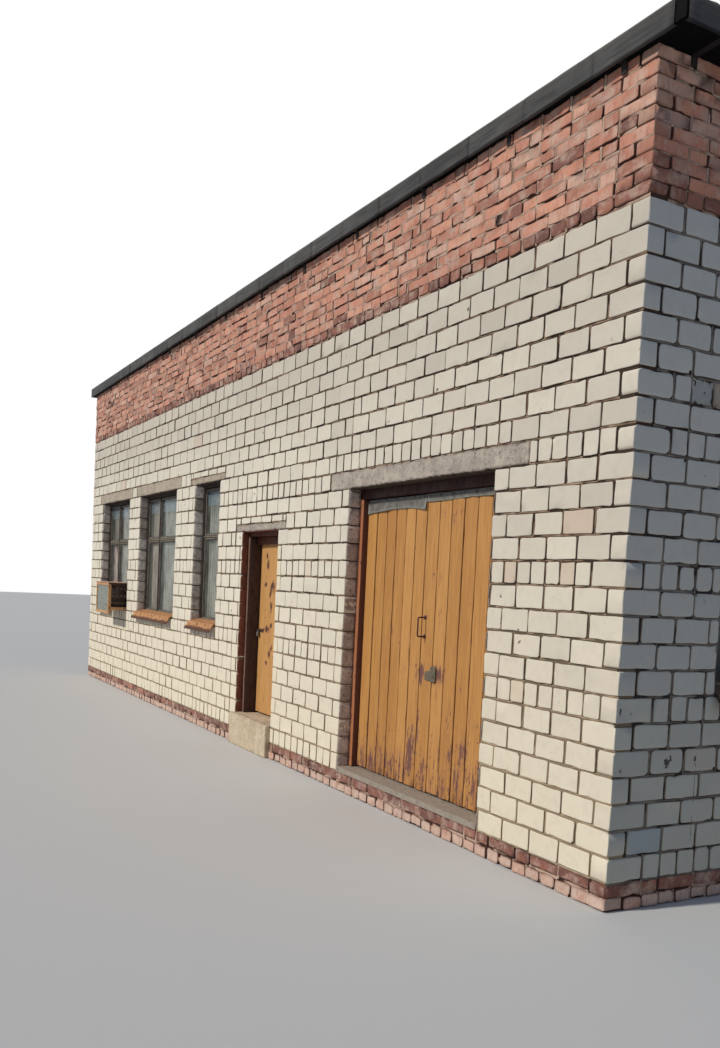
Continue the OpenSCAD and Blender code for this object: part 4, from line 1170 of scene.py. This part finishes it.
lock.append(place_block(FRONT, MEETING - 0.21, MEETING - 0.08, PALE_FOOT + 0.862, PALE_FOOT + 0.934, 0.5,
                        edge=0.0015, corner=0.016, cells=(4, 2), depth=0.003, back=LEAF_FRONT - 0.0024,
                        closed=True, wobble=0.003, relief=0.0003, chip=1.0))
LOCK_STEEL = make_rust("worn grey lock steel", "#4A4138", "#6A6250", "#7A5A50")
make_piece("gate_lock_case", lock, LOCK_STEEL, body="gate_right", slot="iron", stands_for=["gate_lock"])

# %% [markdown]
# The door stands far back in its opening. Its lining and the reveal in front of it were painted a dark
# red-brown, carelessly, so the paint ends on the bricks in scallops. The leaf is ochre like the gate, with
# long dark flakes. It is three wide boards with tight joints.

# %% Door
# The lining's sides that face the near end are painted near black: painted shade.
BROWN_DOOR = make_paint("dark red-brown oil paint", "#6A4C3C", "#86695A", ("#5A3626", "#3A2016"), flaked=0.04,
                        inner="#2A1007")
# The door head is painted darker than the lining: dark paint, and painted shade under the lintel.
DOOR_HEAD = make_paint("dark red-brown oil paint of the door head", "#4A2417", "#5E3120",
                       ("#5A3324", "#2A1710"), flaked=0.02, gloss_level=0.2)
LINING = 0.045
LEAF_T = 0.040
DOOR_RECESS = 0.075
HEAD_UNDER = DOOR_U[3] - LINING
framing = {"depth": 0.170, "back": DOOR_RECESS, **SAWN}
lining = [place_block(FRONT, u, u + LINING, DOOR_U[2], HEAD_UNDER, 0.5, cells=(1, 12), **framing)
          for u in (DOOR_U[0], DOOR_U[1] - LINING)]
lining_head = place_block(FRONT, DOOR_U[0], DOOR_U[1], HEAD_UNDER, DOOR_U[3], 0.5, cells=(8, 1), **framing)
door_u0, door_u1 = DOOR_U[0] + LINING + LEAF_GAP, DOOR_U[1] - LINING - LEAF_GAP
door_z0, door_z1 = DOOR_U[2] + FOOT_GAP, HEAD_UNDER - LEAF_GAP
DOOR_FRONT = DOOR_BACK - LEAF_T
flakes = [(tuple(at_front(u, DOOR_FRONT, PALE_FOOT + z)), (wide * 1.25, 0.1, tall * 1.25), 0.40)
          for u, z, wide, tall in (
              (5.228, 1.705, 0.045, 0.085), (5.262, 1.790, 0.030, 0.035), (5.270, 1.490, 0.045, 0.030),
              (5.085, 1.470, 0.070, 0.075), (5.145, 1.390, 0.035, 0.045), (5.107, 1.260, 0.030, 0.110),
              (5.200, 1.040, 0.110, 0.045), (5.090, 1.085, 0.035, 0.030), (5.065, 0.860, 0.030, 0.045),
              (5.115, 0.790, 0.040, 0.050), (5.180, 0.700, 0.040, 0.030))]
OCHRE_DOOR = make_paint("worn ochre oil paint on the door", "#B98648", "#C8965A", ("#B27B55", "#4A2A22"),
                        flaked=-0.02, rubbed=flakes, chips=-0.02)
cuts = np.linspace(door_u0, door_u1, 4)
leaf = [place_block(FRONT, a, b - 0.0012, door_z0, door_z1, rng.random(), edge=0.002, corner=0.006,
                    cells=(2, 16), depth=LEAF_T, back=DOOR_FRONT, wobble=0.0005, relief=0.0006,
                    closed=True)
        for a, b in zip(cuts[:-1], cuts[1:])]
make_piece("door_boards", leaf, OCHRE_DOOR, body="door", slot="ochre_timber", stands_for=["door_leaf"])
moving, fixed = [], []
for z in hinge_heights(door_z0, door_z1, False):
    more = strap_hinge(DOOR_U[0] + LINING + LEAF_GAP / 2, z, 1, 0.16, LINING)
    moving += more[0]
    fixed += more[1]
make_piece("door_straps", moving, IRON, body="door", slot="iron", stands_for=["door_leaf"])
make_piece("door_lining_timber", lining, BROWN_DOOR, slot="brown_timber", stands_for=["door_lining"])
make_piece("door_pins", fixed, IRON, slot="iron", stands_for=["door_lining"])
# A dark stop board runs across the top of the leaf: dark paint, and painted shade under the lintel.
stop_board = place_block(FRONT, DOOR_U[0] + LINING, DOOR_U[1] - LINING, door_z1 - 0.070, HEAD_UNDER, 0.5,
                         cells=(8, 1), depth=0.030, back=DOOR_FRONT - 0.045, **SAWN)
make_piece("door_lining_head", [lining_head, stop_board], DOOR_HEAD, slot="brown_timber",
           stands_for=["door_lining"])

# %% [markdown]
# The narrow sides of an opening are its reveals. The windows' ones were dressed with mortar by hand, lumpy
# and dark, and the door's are painted. A reveal coat is a panel that lies on the bricks' ends: its surface
# is uneven, and its outer edge wanders with the bricks.

# %% Reveal coats
REVEAL_MORTAR = make_concrete("hand-laid reveal mortar", "#FBF0E2", "#B8A99A", "#3C302A")
BRUSHED_REVEAL = make_concrete("brushed reveal mortar", "#D9CEC4", "#A89B93", "#665650")
# The coat under the lintels is a near black brown: painted shade.
SOFFIT_SHADE = make_concrete("mortar under the lintels darkened as painted shade", "#4A382C", "#332620", "#1D1512")
BROWN_REVEAL = make_paint("red-brown wash on masonry", "#6A3726", "#7E4631", ("#8A6250", "#4A2A1E"),
                          flaked=0.02)


def reveal_coat(w, hole, depth, rough, scallop, sides=True, head=True, joined=0.3):
    """Coats on the sides of an opening (u0, u1, z0, z1) from its edge back to a depth, one to a course;
    joined is how many of them run over the joint above."""
    u0, u1, z0, z1 = hole
    parts = []
    lines = [z for z in PALE_TOP - COURSE * np.arange(PALE_COURSES, -1, -1) if z0 + 0.03 < z < z1 - 0.03]
    across = (0, 0.06, 0.3, 0.55, 0.8, 1.0)
    for at, inward in ((u0, 1), (u1, -1)) if sides else ():
        for low, high in zip([z0] + lines, lines + [z1]):
            t = np.linspace(0, 1, 6)
            gap = 0.0 if rng.random() < joined else rng.uniform(0.006, 0.012)
            zs = low + (high - gap - low) * t
            starts = 0.003 + scallop * rng.uniform(0.4, 1.0) * (2 * t - 1) ** 4
            starts += rng.uniform(0, scallop * 0.3, 6)
            lift = 0.003 + rng.uniform(0, rough, (6, 6))
            lift[0], lift[-1], lift[:, 0] = 0.0015, 0.0015 if gap else 0.003, 0.001
            grid = [[(at + inward * lift[i][j], s + (depth - s) * f, z) for j, f in enumerate(across)]
                    for i, (z, s) in enumerate(zip(zs, starts))]
            parts.append(panel(grid_to_wall(w, grid), -inward * 0.004 * np.array(w["along"]), rng.random()))
    if head:
        us = np.linspace(u0, u1, max(6, round((u1 - u0) / 0.05)))
        grid = [[(u, 0.006 + (depth - 0.006) * t, z1 - 0.003 - rng.uniform(0, rough))
                 for t in (0, 0.3, 0.7, 1.0)] for u in us]
        parts.append(panel(grid_to_wall(w, grid), (0, 0, 0.003)))
    return parts


gate_hole = (*GATE_U[:2], PALE_FOOT, GATE_U[3])
make_piece("door_reveal_paint", reveal_coat(FRONT, DOOR_U, DOOR_RECESS, 0.002, 0.016, joined=0.6),
           BROWN_REVEAL, slot="brown_timber")
make_piece("gate_reveal_mortar",
           reveal_coat(FRONT, gate_hole, FRAME_BACK - 0.002, 0.003, 0.012, head=False, joined=0.1),
           BRUSHED_REVEAL, slot="pale_brick")
WINDOW_RECESS, FRAME_D, FRAME_W = 0.115, 0.058, 0.062
window_places = [(name, on_wall(w, box)) for name, w in WALLS.items() for box in WINDOWS if on_wall(w, box)]
coats, soffits = [], reveal_coat(FRONT, gate_hole, FRAME_BACK, 0.002, 0, sides=False)
for name, hole in window_places:
    coats += reveal_coat(WALLS[name], hole, WINDOW_RECESS, 0.006, 0.008, head=False, joined=0.2)
    soffits += reveal_coat(WALLS[name], hole, WINDOW_RECESS, 0.002, 0, sides=False)
make_piece("lintel_soffits", soffits, SOFFIT_SHADE, slot="pale_brick")
make_piece("window_reveal_mortar", coats, REVEAL_MORTAR, slot="pale_brick")
print("windows placed", len(window_places))

# %% [markdown]
# The windows are box frames of softwood with glazed sashes in them, one cross bar each and an upright in
# the wide ones. The paint has gone and the wood is grey with a mauve cast; the outer frames are painted
# near black, with painted shade in the recess, and the cross bars still hold some olive paint. Each member
# is a worn block: an outer frame as deep as the CAD frame, a thinner sash round each pane and a bead of
# putty.

# %% Window frames
# The outer frames are near black: weathered wood, and painted shade in the recess.
TIMBER = make_paint("weathered grey softwood", "#29221E", "#433A33", ("#3E342E", "#1D1714"), flaked=0.03,
                    rough=0.85, chips=0.02)
SASH_TIMBER = make_paint("washed-out grey paint on sashes", "#5F5850", "#7C746A", ("#5A5148", "#2E2722"),
                         flaked=0.05, rough=0.8, chips=0.03)
BAR_PAINT = make_paint("flaking olive-beige oil paint", "#857C62", "#6F6853", ("#5A5045", "#3A312B"),
                       flaked=0.08)
PUTTY = make_concrete("dried putty", "#8A8075", "#665C52", "#3A332D")
BAR_DROP, UPRIGHT_AT, NARROW = 0.590, 0.575, 1.0
OUTER, SASH_BACK, SASH_D, SASH_W = 0.030, 0.010, 0.040, 0.018
BAR_H, PUTTY_W = 0.016, 0.009


def member(w, u0, u1, z0, z1, back=WINDOW_RECESS, depth=FRAME_D, tone=0.5):
    """One straight timber of a window."""
    count = max(2, round(max(u1 - u0, z1 - z0) / 0.12))
    cells = (count, 1) if u1 - u0 > z1 - z0 else (1, count)
    return place_block(w, u0, u1, z0, z1, tone, edge=0.0025, corner=0.007, cells=cells, depth=depth,
                       back=back, wobble=0.0006, relief=0.0005, chip=0.3, closed=True)


def border(w, u0, u1, z0, z1, width, *more):
    """Two uprights and two rails just inside a rectangle."""
    a, b, c, d = u0 + width, u1 - width, z0 + width, z1 - width
    return [member(w, *r, *more) for r in ((u0, a, z0, z1), (b, u1, z0, z1), (a, b, z0, c), (a, b, d, z1))]


def window_panes(name, hole):
    """The panes of a window as (u0, u1, z0, z1), with its columns and the height of its cross bar."""
    u0, u1, z0, z1 = hole
    bar = z1 - BAR_DROP
    if u1 - u0 < NARROW:
        columns = [(u0 + FRAME_W, u1 - FRAME_W)]
    else:
        upright = u1 - UPRIGHT_AT if name == "front" else u0 + UPRIGHT_AT
        columns = [(u0 + FRAME_W, upright - FRAME_W / 2), (upright + FRAME_W / 2, u1 - FRAME_W)]
    rows = [(z0 + FRAME_W, bar - FRAME_W / 2), (bar + FRAME_W / 2, z1 - FRAME_W)]
    return [(a, b, c, d) for a, b in columns for c, d in rows], columns, bar


for node in FRAME_NODES:
    outer, bars, sashes, putty = [], [], [], []
    for name, w in WALLS.items():
        for box in solids(node):
            hole = on_wall(w, box)
            if not hole:
                continue
            u0, u1, z0, z1 = hole
            panes, columns, bar = window_panes(name, hole)
            outer += border(w, u0, u1, z0, z1, OUTER)
            bars.append(member(w, u0 + OUTER, u1 - OUTER, bar - BAR_H / 2, bar + BAR_H / 2))
            if len(columns) > 1:
                middle = (columns[0][1] + columns[1][0]) / 2
                outer += [member(w, middle - 0.017, middle + 0.017, c, d)
                          for c, d in ((z0 + OUTER, bar - BAR_H / 2), (bar + BAR_H / 2, z1 - OUTER))]
            for a, b, c, d in panes:
                sashes += border(w, a - SASH_W, b + SASH_W, c - SASH_W, d + SASH_W, SASH_W,
                                 WINDOW_RECESS + SASH_BACK, SASH_D, 0.7)
                putty += border(w, a, b, c, d, PUTTY_W, WINDOW_RECESS + FRAME_D / 2 - 0.010, 0.0075)
    label = node.replace("frames", "windows").replace("frame", "window")
    for what, parts, material in (("timber", outer, TIMBER), ("sashes", sashes, SASH_TIMBER),
                                  ("cross_bar", bars, BAR_PAINT), ("putty", putty, PUTTY)):
        make_piece(f"{label}_{what}", parts, material, slot="window_timber", stands_for=[node])

# %% [markdown]
# Old drawn glass is a little uneven and greenish, and these panes haven't been washed for years. Dust makes
# them milky and lets less through. So most of each pane is clear with a gloss, and a cloud of dust covers
# part of it. Transparency by alpha also lets the sun reach the curtains behind.

# %% Dusty glass
HEAD_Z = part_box("frame_far")[1].z


def make_glass():
    material, add = new_material("dusty drawn glass")
    place = add("TexCoord").outputs["Object"]
    cloud = add("TexNoise", Vector=place, Scale=per_mm(320), Detail=5.0, Roughness=0.6)
    run_at = add("Mapping", Vector=place, Scale=(1, 1, 0.15))
    runs = add("TexNoise", Vector=run_at, Scale=per_mm(60), Detail=3.0)
    both = add("Math", cloud, runs)
    dust = add("MapRange", both, 0.8, 1.25, 0.1, 0.36)
    colour = add("ValToRGB", cloud, stops=[(0.35, "#6A716A"), (0.68, "#8E938A")])
    height = add("SeparateXYZ", place).outputs["Z"]
    # A band along the top of each pane is painted pale blue-grey under thicker dust: a painted reflection of
    # the sky.
    high = add("MapRange", height, HEAD_Z - 0.235, HEAD_Z - 0.225)
    colour = add("MixRGB", high, colour, "#84959B")
    dust = add("Math", high, 0.13, dust, operation="MULTIPLY_ADD")
    ripple = add("TexNoise", Vector=place, Scale=per_mm(260), Detail=0.0)
    return finish(material, add, colour, 0.2, ripple, 0.15, 2, IOR=1.52, Specular_IOR_Level=0.22, Alpha=dust)


def dress(node, material, bevel=0.0, other=None, is_other=None):
    """Gives a CAD node that keeps its shape a material, or two, and its edges a small rounding."""
    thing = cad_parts[node]
    thing.data.materials.clear()
    thing.data.materials.append(material)
    if other:
        thing.data.materials.append(other)
        for polygon in thing.data.polygons:
            polygon.material_index = int(is_other(polygon.center, polygon.normal))
    if bevel:
        rounding = thing.modifiers.new("worn edges", "BEVEL")
        rounding.width = bevel
        rounding.segments = 2
        rounding.limit_method = "ANGLE"


dress("window_glass", make_glass())

# %% [markdown]
# Behind the front windows hang thin curtains, gathered close and grey with dust. A gathered cloth is wider
# than its window by about half: its folds are a wave that changes its length and depth on the way.

# %% Gathered curtains
def make_cloth(name, pale, dark, fold_shade, above=None):
    """Plain-woven cotton: its threads are too fine to show, so the grain is drawn as 4 mm runs."""
    material, add = new_material(name)
    place = add("TexCoord").outputs["Object"]
    rim = add("Attribute", attribute_name="rim").outputs["Fac"]
    grain_at = add("Mapping", Vector=place, Scale=(1, 1, 0.03))
    grain = add("TexNoise", Vector=grain_at, Scale=per_mm(4), Detail=3.0)
    stain = add("TexNoise", Vector=place, Scale=per_mm(240), Detail=5.0)
    body = add("ValToRGB", stain, stops=[(0.35, dark), (0.62, pale)])
    if above:
        height = add("SeparateXYZ", place).outputs["Z"]
        body = cover(add, body, height, above[0] - 0.03, above[0] + 0.03, 0.9, above[1])
    streak_at = add("Mapping", Vector=place, Scale=(1, 1, 0.04))
    streak = add("TexNoise", Vector=streak_at, Scale=per_mm(30), Detail=3.0)
    streaked = cover(add, body, streak, 0.52, 0.68, 0.6, pale)
    # Points deep in the folds go towards the darker fold colour: painted shade in the folds.
    folded = add("MixRGB", rim, streaked, fold_shade)
    return finish(material, add, folded, 0.9, grain, 0.4, 1, Sheen_Weight=0.2)


BAR_Z = HEAD_Z - BAR_DROP
CLOTH = make_cloth("dusty grey cotton", "#D9DACD", "#A8AA9F", "#46443F")
BROWN_CLOTH = make_cloth("smoky brown-grey cotton", "#E2D5C2", "#AA9B8B", "#5E5349")
RED_CLOTH = make_cloth("faded red and white cotton", "#EFE2D6", "#A8695F", "#86453D",
                       above=(BAR_Z, "#9A958A"))
CURTAIN_FRONT = WINDOW_RECESS + FRAME_D + 0.0015
CURTAIN_DEEP, CURTAIN_FOOT, CURTAIN_SIDE = 0.027, 0.030, 0.021


def curtain(name, u0, u1, z0, z1, cloth):
    """One gathered sheet from u0 to u1."""
    n = round((u1 - u0) / 0.006)
    u = np.linspace(u0, u1, n)
    turn = np.cumsum(2 * math.pi * (u1 - u0) / n / (0.062 + 0.018 * np.sin(u * 11 + 1.3)))
    deep = 0.5 + 0.5 * np.sin(turn)
    size = 0.75 + 0.25 * np.sin(u * 17 + 0.4)
    depth = CURTAIN_FRONT + 0.001 + (CURTAIN_DEEP - 0.002) * deep * size
    m = 14
    grid = np.array([(u[i], depth[i], z0 + (z1 - z0) * r) for i in range(n) for r in np.linspace(0, 1, m)])
    ids = np.arange(n * m).reshape(n, m)
    faces = [(ids[i, j], ids[i + 1, j], ids[i + 1, j + 1], ids[i, j + 1])
             for i in range(n - 1) for j in range(m - 1)]
    part = (to_wall(FRONT, grid), outwards(FRONT, faces), np.full(n * m, 0.5), np.repeat(deep ** 2 * 0.8, m))
    piece = make_piece(name, [part], cloth, slot="curtain", stands_for=["window_curtains"])


for label, side_cloth in (("narrow", None), ("middle", BROWN_CLOTH), ("far", RED_CLOTH)):
    node = f"frame_{label}"
    u0, u1, z0, z1 = on_wall(FRONT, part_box(node))
    u0, u1, z0, z1 = u0 + CURTAIN_SIDE, u1 - CURTAIN_SIDE, z0 + CURTAIN_FOOT, z1 - CURTAIN_FOOT
    split = u1 - UPRIGHT_AT + 0.03
    if side_cloth:
        curtain(f"curtain_{label}_near", u0, split - 0.003, z0, z1, CLOTH)
        curtain(f"curtain_{label}_side", split + 0.003, u1, z0, z1, side_cloth)
    else:
        curtain(f"curtain_{label}", u0, u1, z0, z1, CLOTH)

# %% Sills and cage
SILL_FOOT = min(low.z for low, high in solids("window_sills"))
# The lowest 50 mm of the sill is flaked to dark: painted shade under the sill, drawn as flaking.
OCHRE_SILL = make_paint("worn ochre oil paint on bent sheet", "#BA8450", "#D2A26C", ("#AA6E4A", "#3C231A"),
                        flaked=0.07, chips=0.04, foot=(SILL_FOOT, SILL_FOOT + 0.05, 0.5))
OCHRE_CAGE = make_paint("worn ochre oil paint on battens", "#C3925F", "#D8AF7E", ("#9A7458", "#56392C"),
                        flaked=0.04, chips=0.02)
PANEL_PAINT = make_paint("pale blue-grey paint on hardboard", "#79837C", "#979C90", ("#B0A898", "#6A5C50"),
                         flaked=0.07, chips=0.03)
# A near black sheet: on the sill at the near end it is painted shade, and the cage's side lining is a dark
# sheet behind the grille that is also painted shade.
SHADE_SHEET = make_rust("rusted sheet darkened as painted shade", "#1A1512", "#2C211B", "#453026")
# The cage's battens that face the near end are painted dark: painted shade.
SHADED_BATTEN = make_paint("batten paint darkened as painted shade", "#3B2A20", "#5A4433", ("#5A4433", "#1E1512"), flaked=0.03,
                     gloss_level=0.2)
COVER_PAINT = make_paint("faded pink paint on board", "#D2A992", "#E3C3AE", ("#B08A72", "#7A5A48"),
                         flaked=0.03)
cage_low, cage_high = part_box("cage_frame")
# The sill's faces at the near end are painted near black: painted shade.
dress("window_sills", OCHRE_SILL, 0.0015, SHADE_SHEET, lambda at, out: at.x > NEAR_X - 0.2)
dress("cage_frame", OCHRE_CAGE, 0.003, SHADED_BATTEN,
      lambda at, out: out.x > 0.5 and at.y > cage_low.y + 0.045 and at.z > cage_low.z + 0.1)
dress("cage_panels", PANEL_PAINT, 0.001, COVER_PAINT, lambda at, out: at.z > cage_high.z - 0.001)
dress("cage_grille", IRON)
u0, u1, z0, z1 = on_wall(FRONT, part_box("cage_grille"))
depths = sorted(-(c - FRONT["start"]).dot(FRONT["out"]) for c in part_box("cage_grille"))
grid = [[(u1 + 0.003, d, z) for z in (z0 - 0.002, z1 + 0.002)] for d in depths]
lining_sheet = panel(grid_to_wall(FRONT, grid), (-0.003, 0, 0))
make_piece("cage_lining", [lining_sheet], SHADE_SHEET, slot="iron")
cells = []
for d in np.linspace(depths[0] + 0.020, depths[1] - 0.020, 12):
    for z in (z0 + 0.26, z0 + 0.16, z0 + 0.06):
        tall = rng.uniform(0.012, 0.026)
        cell = [[(u1 + 0.0005, d + a, z + b * tall) for b in (-1, 1)] for a in (-0.006, 0.006)]
        cells.append(panel(grid_to_wall(FRONT, cell), (-0.002, 0, 0), tone=rng.random()))
make_piece("cage_lining_cells", cells, make_paint("pinkish grey plastic", "#6E5B55", "#8D7A72",
                                                  ("#6E5B55", "#3B2A26"), flaked=0.05), slot="iron")

# %% [markdown]
# The roof edge is thin steel sheet, cut in lengths of about 0.58 m, folded and lapped one over the next. It
# was painted and has gone a dark olive-grey with brown runs; the folded top edge is painted lighter, a
# painted highlight. Each length is a panel with its own small dents and tilt, and a nail near each lap.

# %% Fascia sheets
def make_sheet_metal(name, dark, pale):
    material, add = new_material(name)
    place = add("TexCoord").outputs["Object"]
    tone = add("Attribute", attribute_name="tone").outputs["Fac"]
    rim = add("Attribute", attribute_name="rim").outputs["Fac"]
    run_at = add("Mapping", Vector=place, Scale=(1, 1, 0.12))
    runs = add("TexNoise", Vector=run_at, Scale=per_mm(45), Detail=5.0)
    cloud = add("TexNoise", Vector=place, Scale=per_mm(260), Detail=5.0, Roughness=0.6)
    lift = add("MapRange", tone, 0.0, 1.0, -0.12, 0.12)
    aged = add("Math", cloud, lift)
    body = add("ValToRGB", aged, stops=[(0.32, dark), (0.68, pale)])
    rub_at = add("Mapping", Vector=place, Scale=(0.07, 0.07, 1))
    rub = add("TexNoise", Vector=rub_at, Scale=per_mm(26), Detail=5.0)
    body = cover(add, body, rub, 0.5, 0.7, 0.4, "#5A5651")
    body = cover(add, body, rub, 0.48, 0.34, 0.7, "#1B1A1A")
    run = cover(add, body, runs, 0.58, 0.74, 0.6, "#43352A")
    # A high rim paints the colour lighter: the painted highlight on the folded top edge.
    edged = add("MixRGB", rim, run, "#5C5A54")
    return finish(material, add, edged, 0.7, cloud, 0.3, 3, Specular_IOR_Level=0.3)


SHEET = make_sheet_metal("weathered painted sheet steel", "#2B2B2C", "#454545")
# A darker, bluer copy for the near end, which lies in shade: painted shade.
SHADED_SHEET = make_sheet_metal("painted sheet steel darkened as painted shade", "#14181E", "#252A32")
SHEET_L, LAP, LIP, SHEET_T, PROUD = 0.580, 0.014, 0.022, 0.0012, 0.0015
GALVANISED = make_rust("zinc-coated nails", "#45423E", "#57534D", "#6E6962")


def fascia(name, node, start, end, out, foot, top, material):
    """Lapped sheets from start to end, as (x, y), along a roof edge; out points away from the roof."""
    start, end, out = (Vector((*place, 0)) for place in (start, end, out))
    along = (end - start).normalized()
    length = (end - start).length
    parts, nails = [], []
    count = max(1, round(length / SHEET_L))
    step = length / count
    heights = (top, top - 0.012, (top + foot) / 2, foot + 0.012, foot + 0.0015)
    for k in range(count):
        a, b = k * step - (LAP if k else 0), (k + 1) * step
        lay = PROUD * (0.4 + 0.6 * (k % 2))
        dent = rng.normal(0, 0.0007, (8, 5))
        tilt, dip = rng.normal(0, 0.0008), rng.normal(0, 0.001, 8)
        grid = []
        for i, t in enumerate(np.linspace(0, 1, 8)):
            s = a + (b - a) * t
            places = [start + along * s
                      + out * min(lay - PROUD - 0.0012 + dent[i][j] + tilt * (t - 0.5), -0.0002)
                      + Vector((0, 0, z + (dip[i] if j > 2 and z + dip[i] > foot else 0)))
                      for j, z in enumerate(heights)]
            places.append(places[-1] - out * LIP)
            grid.append([tuple(p) for p in places])
        offset = np.array(-out) * SHEET_T
        offset[2] += 0.0008
        part = panel(np.array(grid), tuple(offset), tone=rng.random(), edge_rim=0.0)
        # The rows along the folded top edge get a high rim: a painted highlight.
        upper = np.arange(8) * 6
        part[3][upper] = 0.9
        part[3][upper + 1] = 0.12
        parts.append(part)
        if k:
            for z in (foot + 0.03, top - 0.03):
                p = start + along * (a + LAP * 0.5) + Vector((0, 0, z + rng.normal(0, 0.004)))
                nails.append(rod([p - out * (PROUD + 0.002), p - out * 0.0002], 0.0055, 8))
    make_piece(f"{name}_sheets", parts, material, slot="sheet_metal", stands_for=[node])
    make_piece(f"{name}_nails", nails, GALVANISED, slot="sheet_metal")


for node, side in (("fascia_front", -1), ("fascia_back", 1)):
    low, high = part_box(node)
    y = high.y if side > 0 else low.y
    fascia(node, node, (high.x, y), (low.x, y), (0, side), low.z, high.z, SHEET)
for low, high in solids("fascia_ends"):
    name, side, x, sheet = (("fascia_near_end", 1, high.x, SHADED_SHEET) if high.x > 0 else
                            ("fascia_far_end", -1, low.x, SHEET))
    fascia(name, "fascia_ends", (x, low.y), (x, high.y), (side, 0), low.z, high.z, sheet)

# %% [markdown]
# The roof is bitumen felt in strips a metre wide, each lapped over the one below. At the near end the
# surplus was folded over on itself, and its crumpled roll shows above the sheet metal. Under the eave is a
# tarred board, painted near black with painted shade.

# %% Roofing felt
def make_felt():
    material, add = new_material("bitumen roofing felt with slate grit")
    place = add("TexCoord").outputs["Object"]
    cloud = add("TexNoise", Vector=place, Scale=per_mm(420), Detail=6.0, Roughness=0.6)
    body = add("ValToRGB", cloud, stops=[(0.34, "#26282B"), (0.66, "#43454A")])
    grit = add("TexNoise", Vector=place, Scale=per_mm(5), Detail=2.0)
    gritty = cover(add, body, grit, 0.56, 0.7, 0.4, "#6A6C70")
    return finish(material, add, gritty, 0.9, grit, 0.6, 2)


FELT = make_felt()
felt_low, felt_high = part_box("roof_felt")
FELT_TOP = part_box("fascia_front")[1].z
STRIP_W, STRIP_LAP = 1.0, 0.10
strips = []
xs = np.linspace(felt_low.x, felt_high.x, 70)
y = felt_low.y
while y < felt_high.y - 0.02:
    stop = min(y + STRIP_W, felt_high.y)
    ys = np.linspace(y, stop, 6)
    wander = rng.normal(0, 0.004, len(xs)).cumsum() * 0.3
    wander -= np.linspace(wander[0], wander[-1], len(xs))
    grid = np.array([[(x, v + (wander[i] * 0.5 if 0 < j < 5 else 0),
                       FELT_TOP - 0.0035 + 0.002 * (v - y) / STRIP_W + rng.normal(0, 0.0004))
                      for j, v in enumerate(ys)] for i, x in enumerate(xs)])
    strips.append(panel(grid, (0, 0, -0.0085), edge_rim=0.0))
    y = stop - STRIP_LAP if stop < felt_high.y else felt_high.y
crown = [(0.0, -0.004), (-0.004, 0.010), (-0.012, 0.020), (-0.030, 0.029), (-0.052, 0.031), (-0.078, 0.027),
         (-0.100, 0.016), (-0.114, 0.006), (-0.119, -0.004)]
ys = np.linspace(felt_low.y + 0.001, felt_low.y + 1.148, 48)
swell = 0.75 + 0.25 * np.sin(ys * 9.0) * np.sin(ys * 23.0 + 1.0)
swell[0], swell[-1] = 0.45, 0.35
grid = []
for i, v in enumerate(ys):
    row = []
    for dx, dz in crown:
        z = dz * swell[i] + (rng.normal(0, 0.0025) if dz > 0.008 else 0)
        shift = rng.normal(0, 0.0015) * (dz > 0.008) * (dx < 0)
        row.append((felt_high.x + dx * (0.9 + 0.1 * swell[i]) - 0.001 + shift, v, FELT_TOP + min(z, 0.033)))
    grid.append(row)
strips.append(panel(np.array(grid), (0, 0, -0.003), edge_rim=0.0))
make_piece("felt_strips", strips, FELT, slot="roofing_felt", stands_for=["roof_felt"])

# %% Eave board, straps, slabs and planks
# The eave board and the straps under it are near black: tar, and painted shade under the eave.
dress("roof_screed", make_paint("tarred eave board with painted shade", "#0D0C0D", "#151315", ("#1A1716", "#0E0C0B"),
                                rough=0.85, gloss_level=0.08, grain=(0.06, 1, 1)))
dress("eave_straps", make_rust("tarred flat iron with painted shade", "#0F0C0C", "#1B1413", "#2C1F1B"), 0.001)
dress("floor_slab", SLAB, 0.004)
dress("roof_planks", SLAB)

# %% Door hasp and padlock
LOCK_IRON = make_rust("worn steel of the padlock", "#4E4641", "#6E655E", "#8E857C")
hasp_z = PALE_FOOT + 1.0
hasp_u = DOOR_U[1] - LINING - LEAF_GAP - 0.008
staple_u, staple_z = hasp_u - 0.026, hasp_z + 0.018
hasp = [place_block(FRONT, hasp_u - 0.120, hasp_u, hasp_z, hasp_z + 0.036, 0.5, edge=0.0012, corner=0.006,
                    cells=(4, 1), depth=0.004, back=DOOR_FRONT - 0.004, closed=True, wobble=0.0004,
                    relief=0.0002, chip=0.0)]
hasp.append(rod([at_front(staple_u, DOOR_FRONT - 0.004, staple_z),
                 at_front(staple_u, DOOR_FRONT - 0.026, staple_z)], 0.005, 12))
hasp += [rod([at_front(hasp_u - d, DOOR_FRONT - out, hasp_z + 0.018) for out in (0.0038, 0.0062)], 0.005, 10)
         for d in (0.075, 0.105)]
make_piece("door_hasp_strap", hasp, IRON, body="door", slot="iron", stands_for=["door_hasp"])
lock_depth = DOOR_FRONT - 0.022
bow = [(-0.010, -0.020), (-0.010, 0.0065), (0.010, 0.0065), (0.010, -0.020)]
padlock = [rod(bent([at_front(staple_u + u, lock_depth, staple_z + z) for u, z in bow], 0.0095), 0.0035, 10)]
padlock.append(place_block(FRONT, staple_u - 0.020, staple_u + 0.020, staple_z - 0.0605, staple_z - 0.0145,
                           0.5, edge=0.003, corner=0.008, cells=(2, 2), depth=0.018, back=lock_depth - 0.009,
                           closed=True, wobble=0.0003, relief=0.0002, chip=0.0))
make_piece("door_padlock", padlock, LOCK_IRON, body="door", slot="iron", stands_for=["door_hasp"])
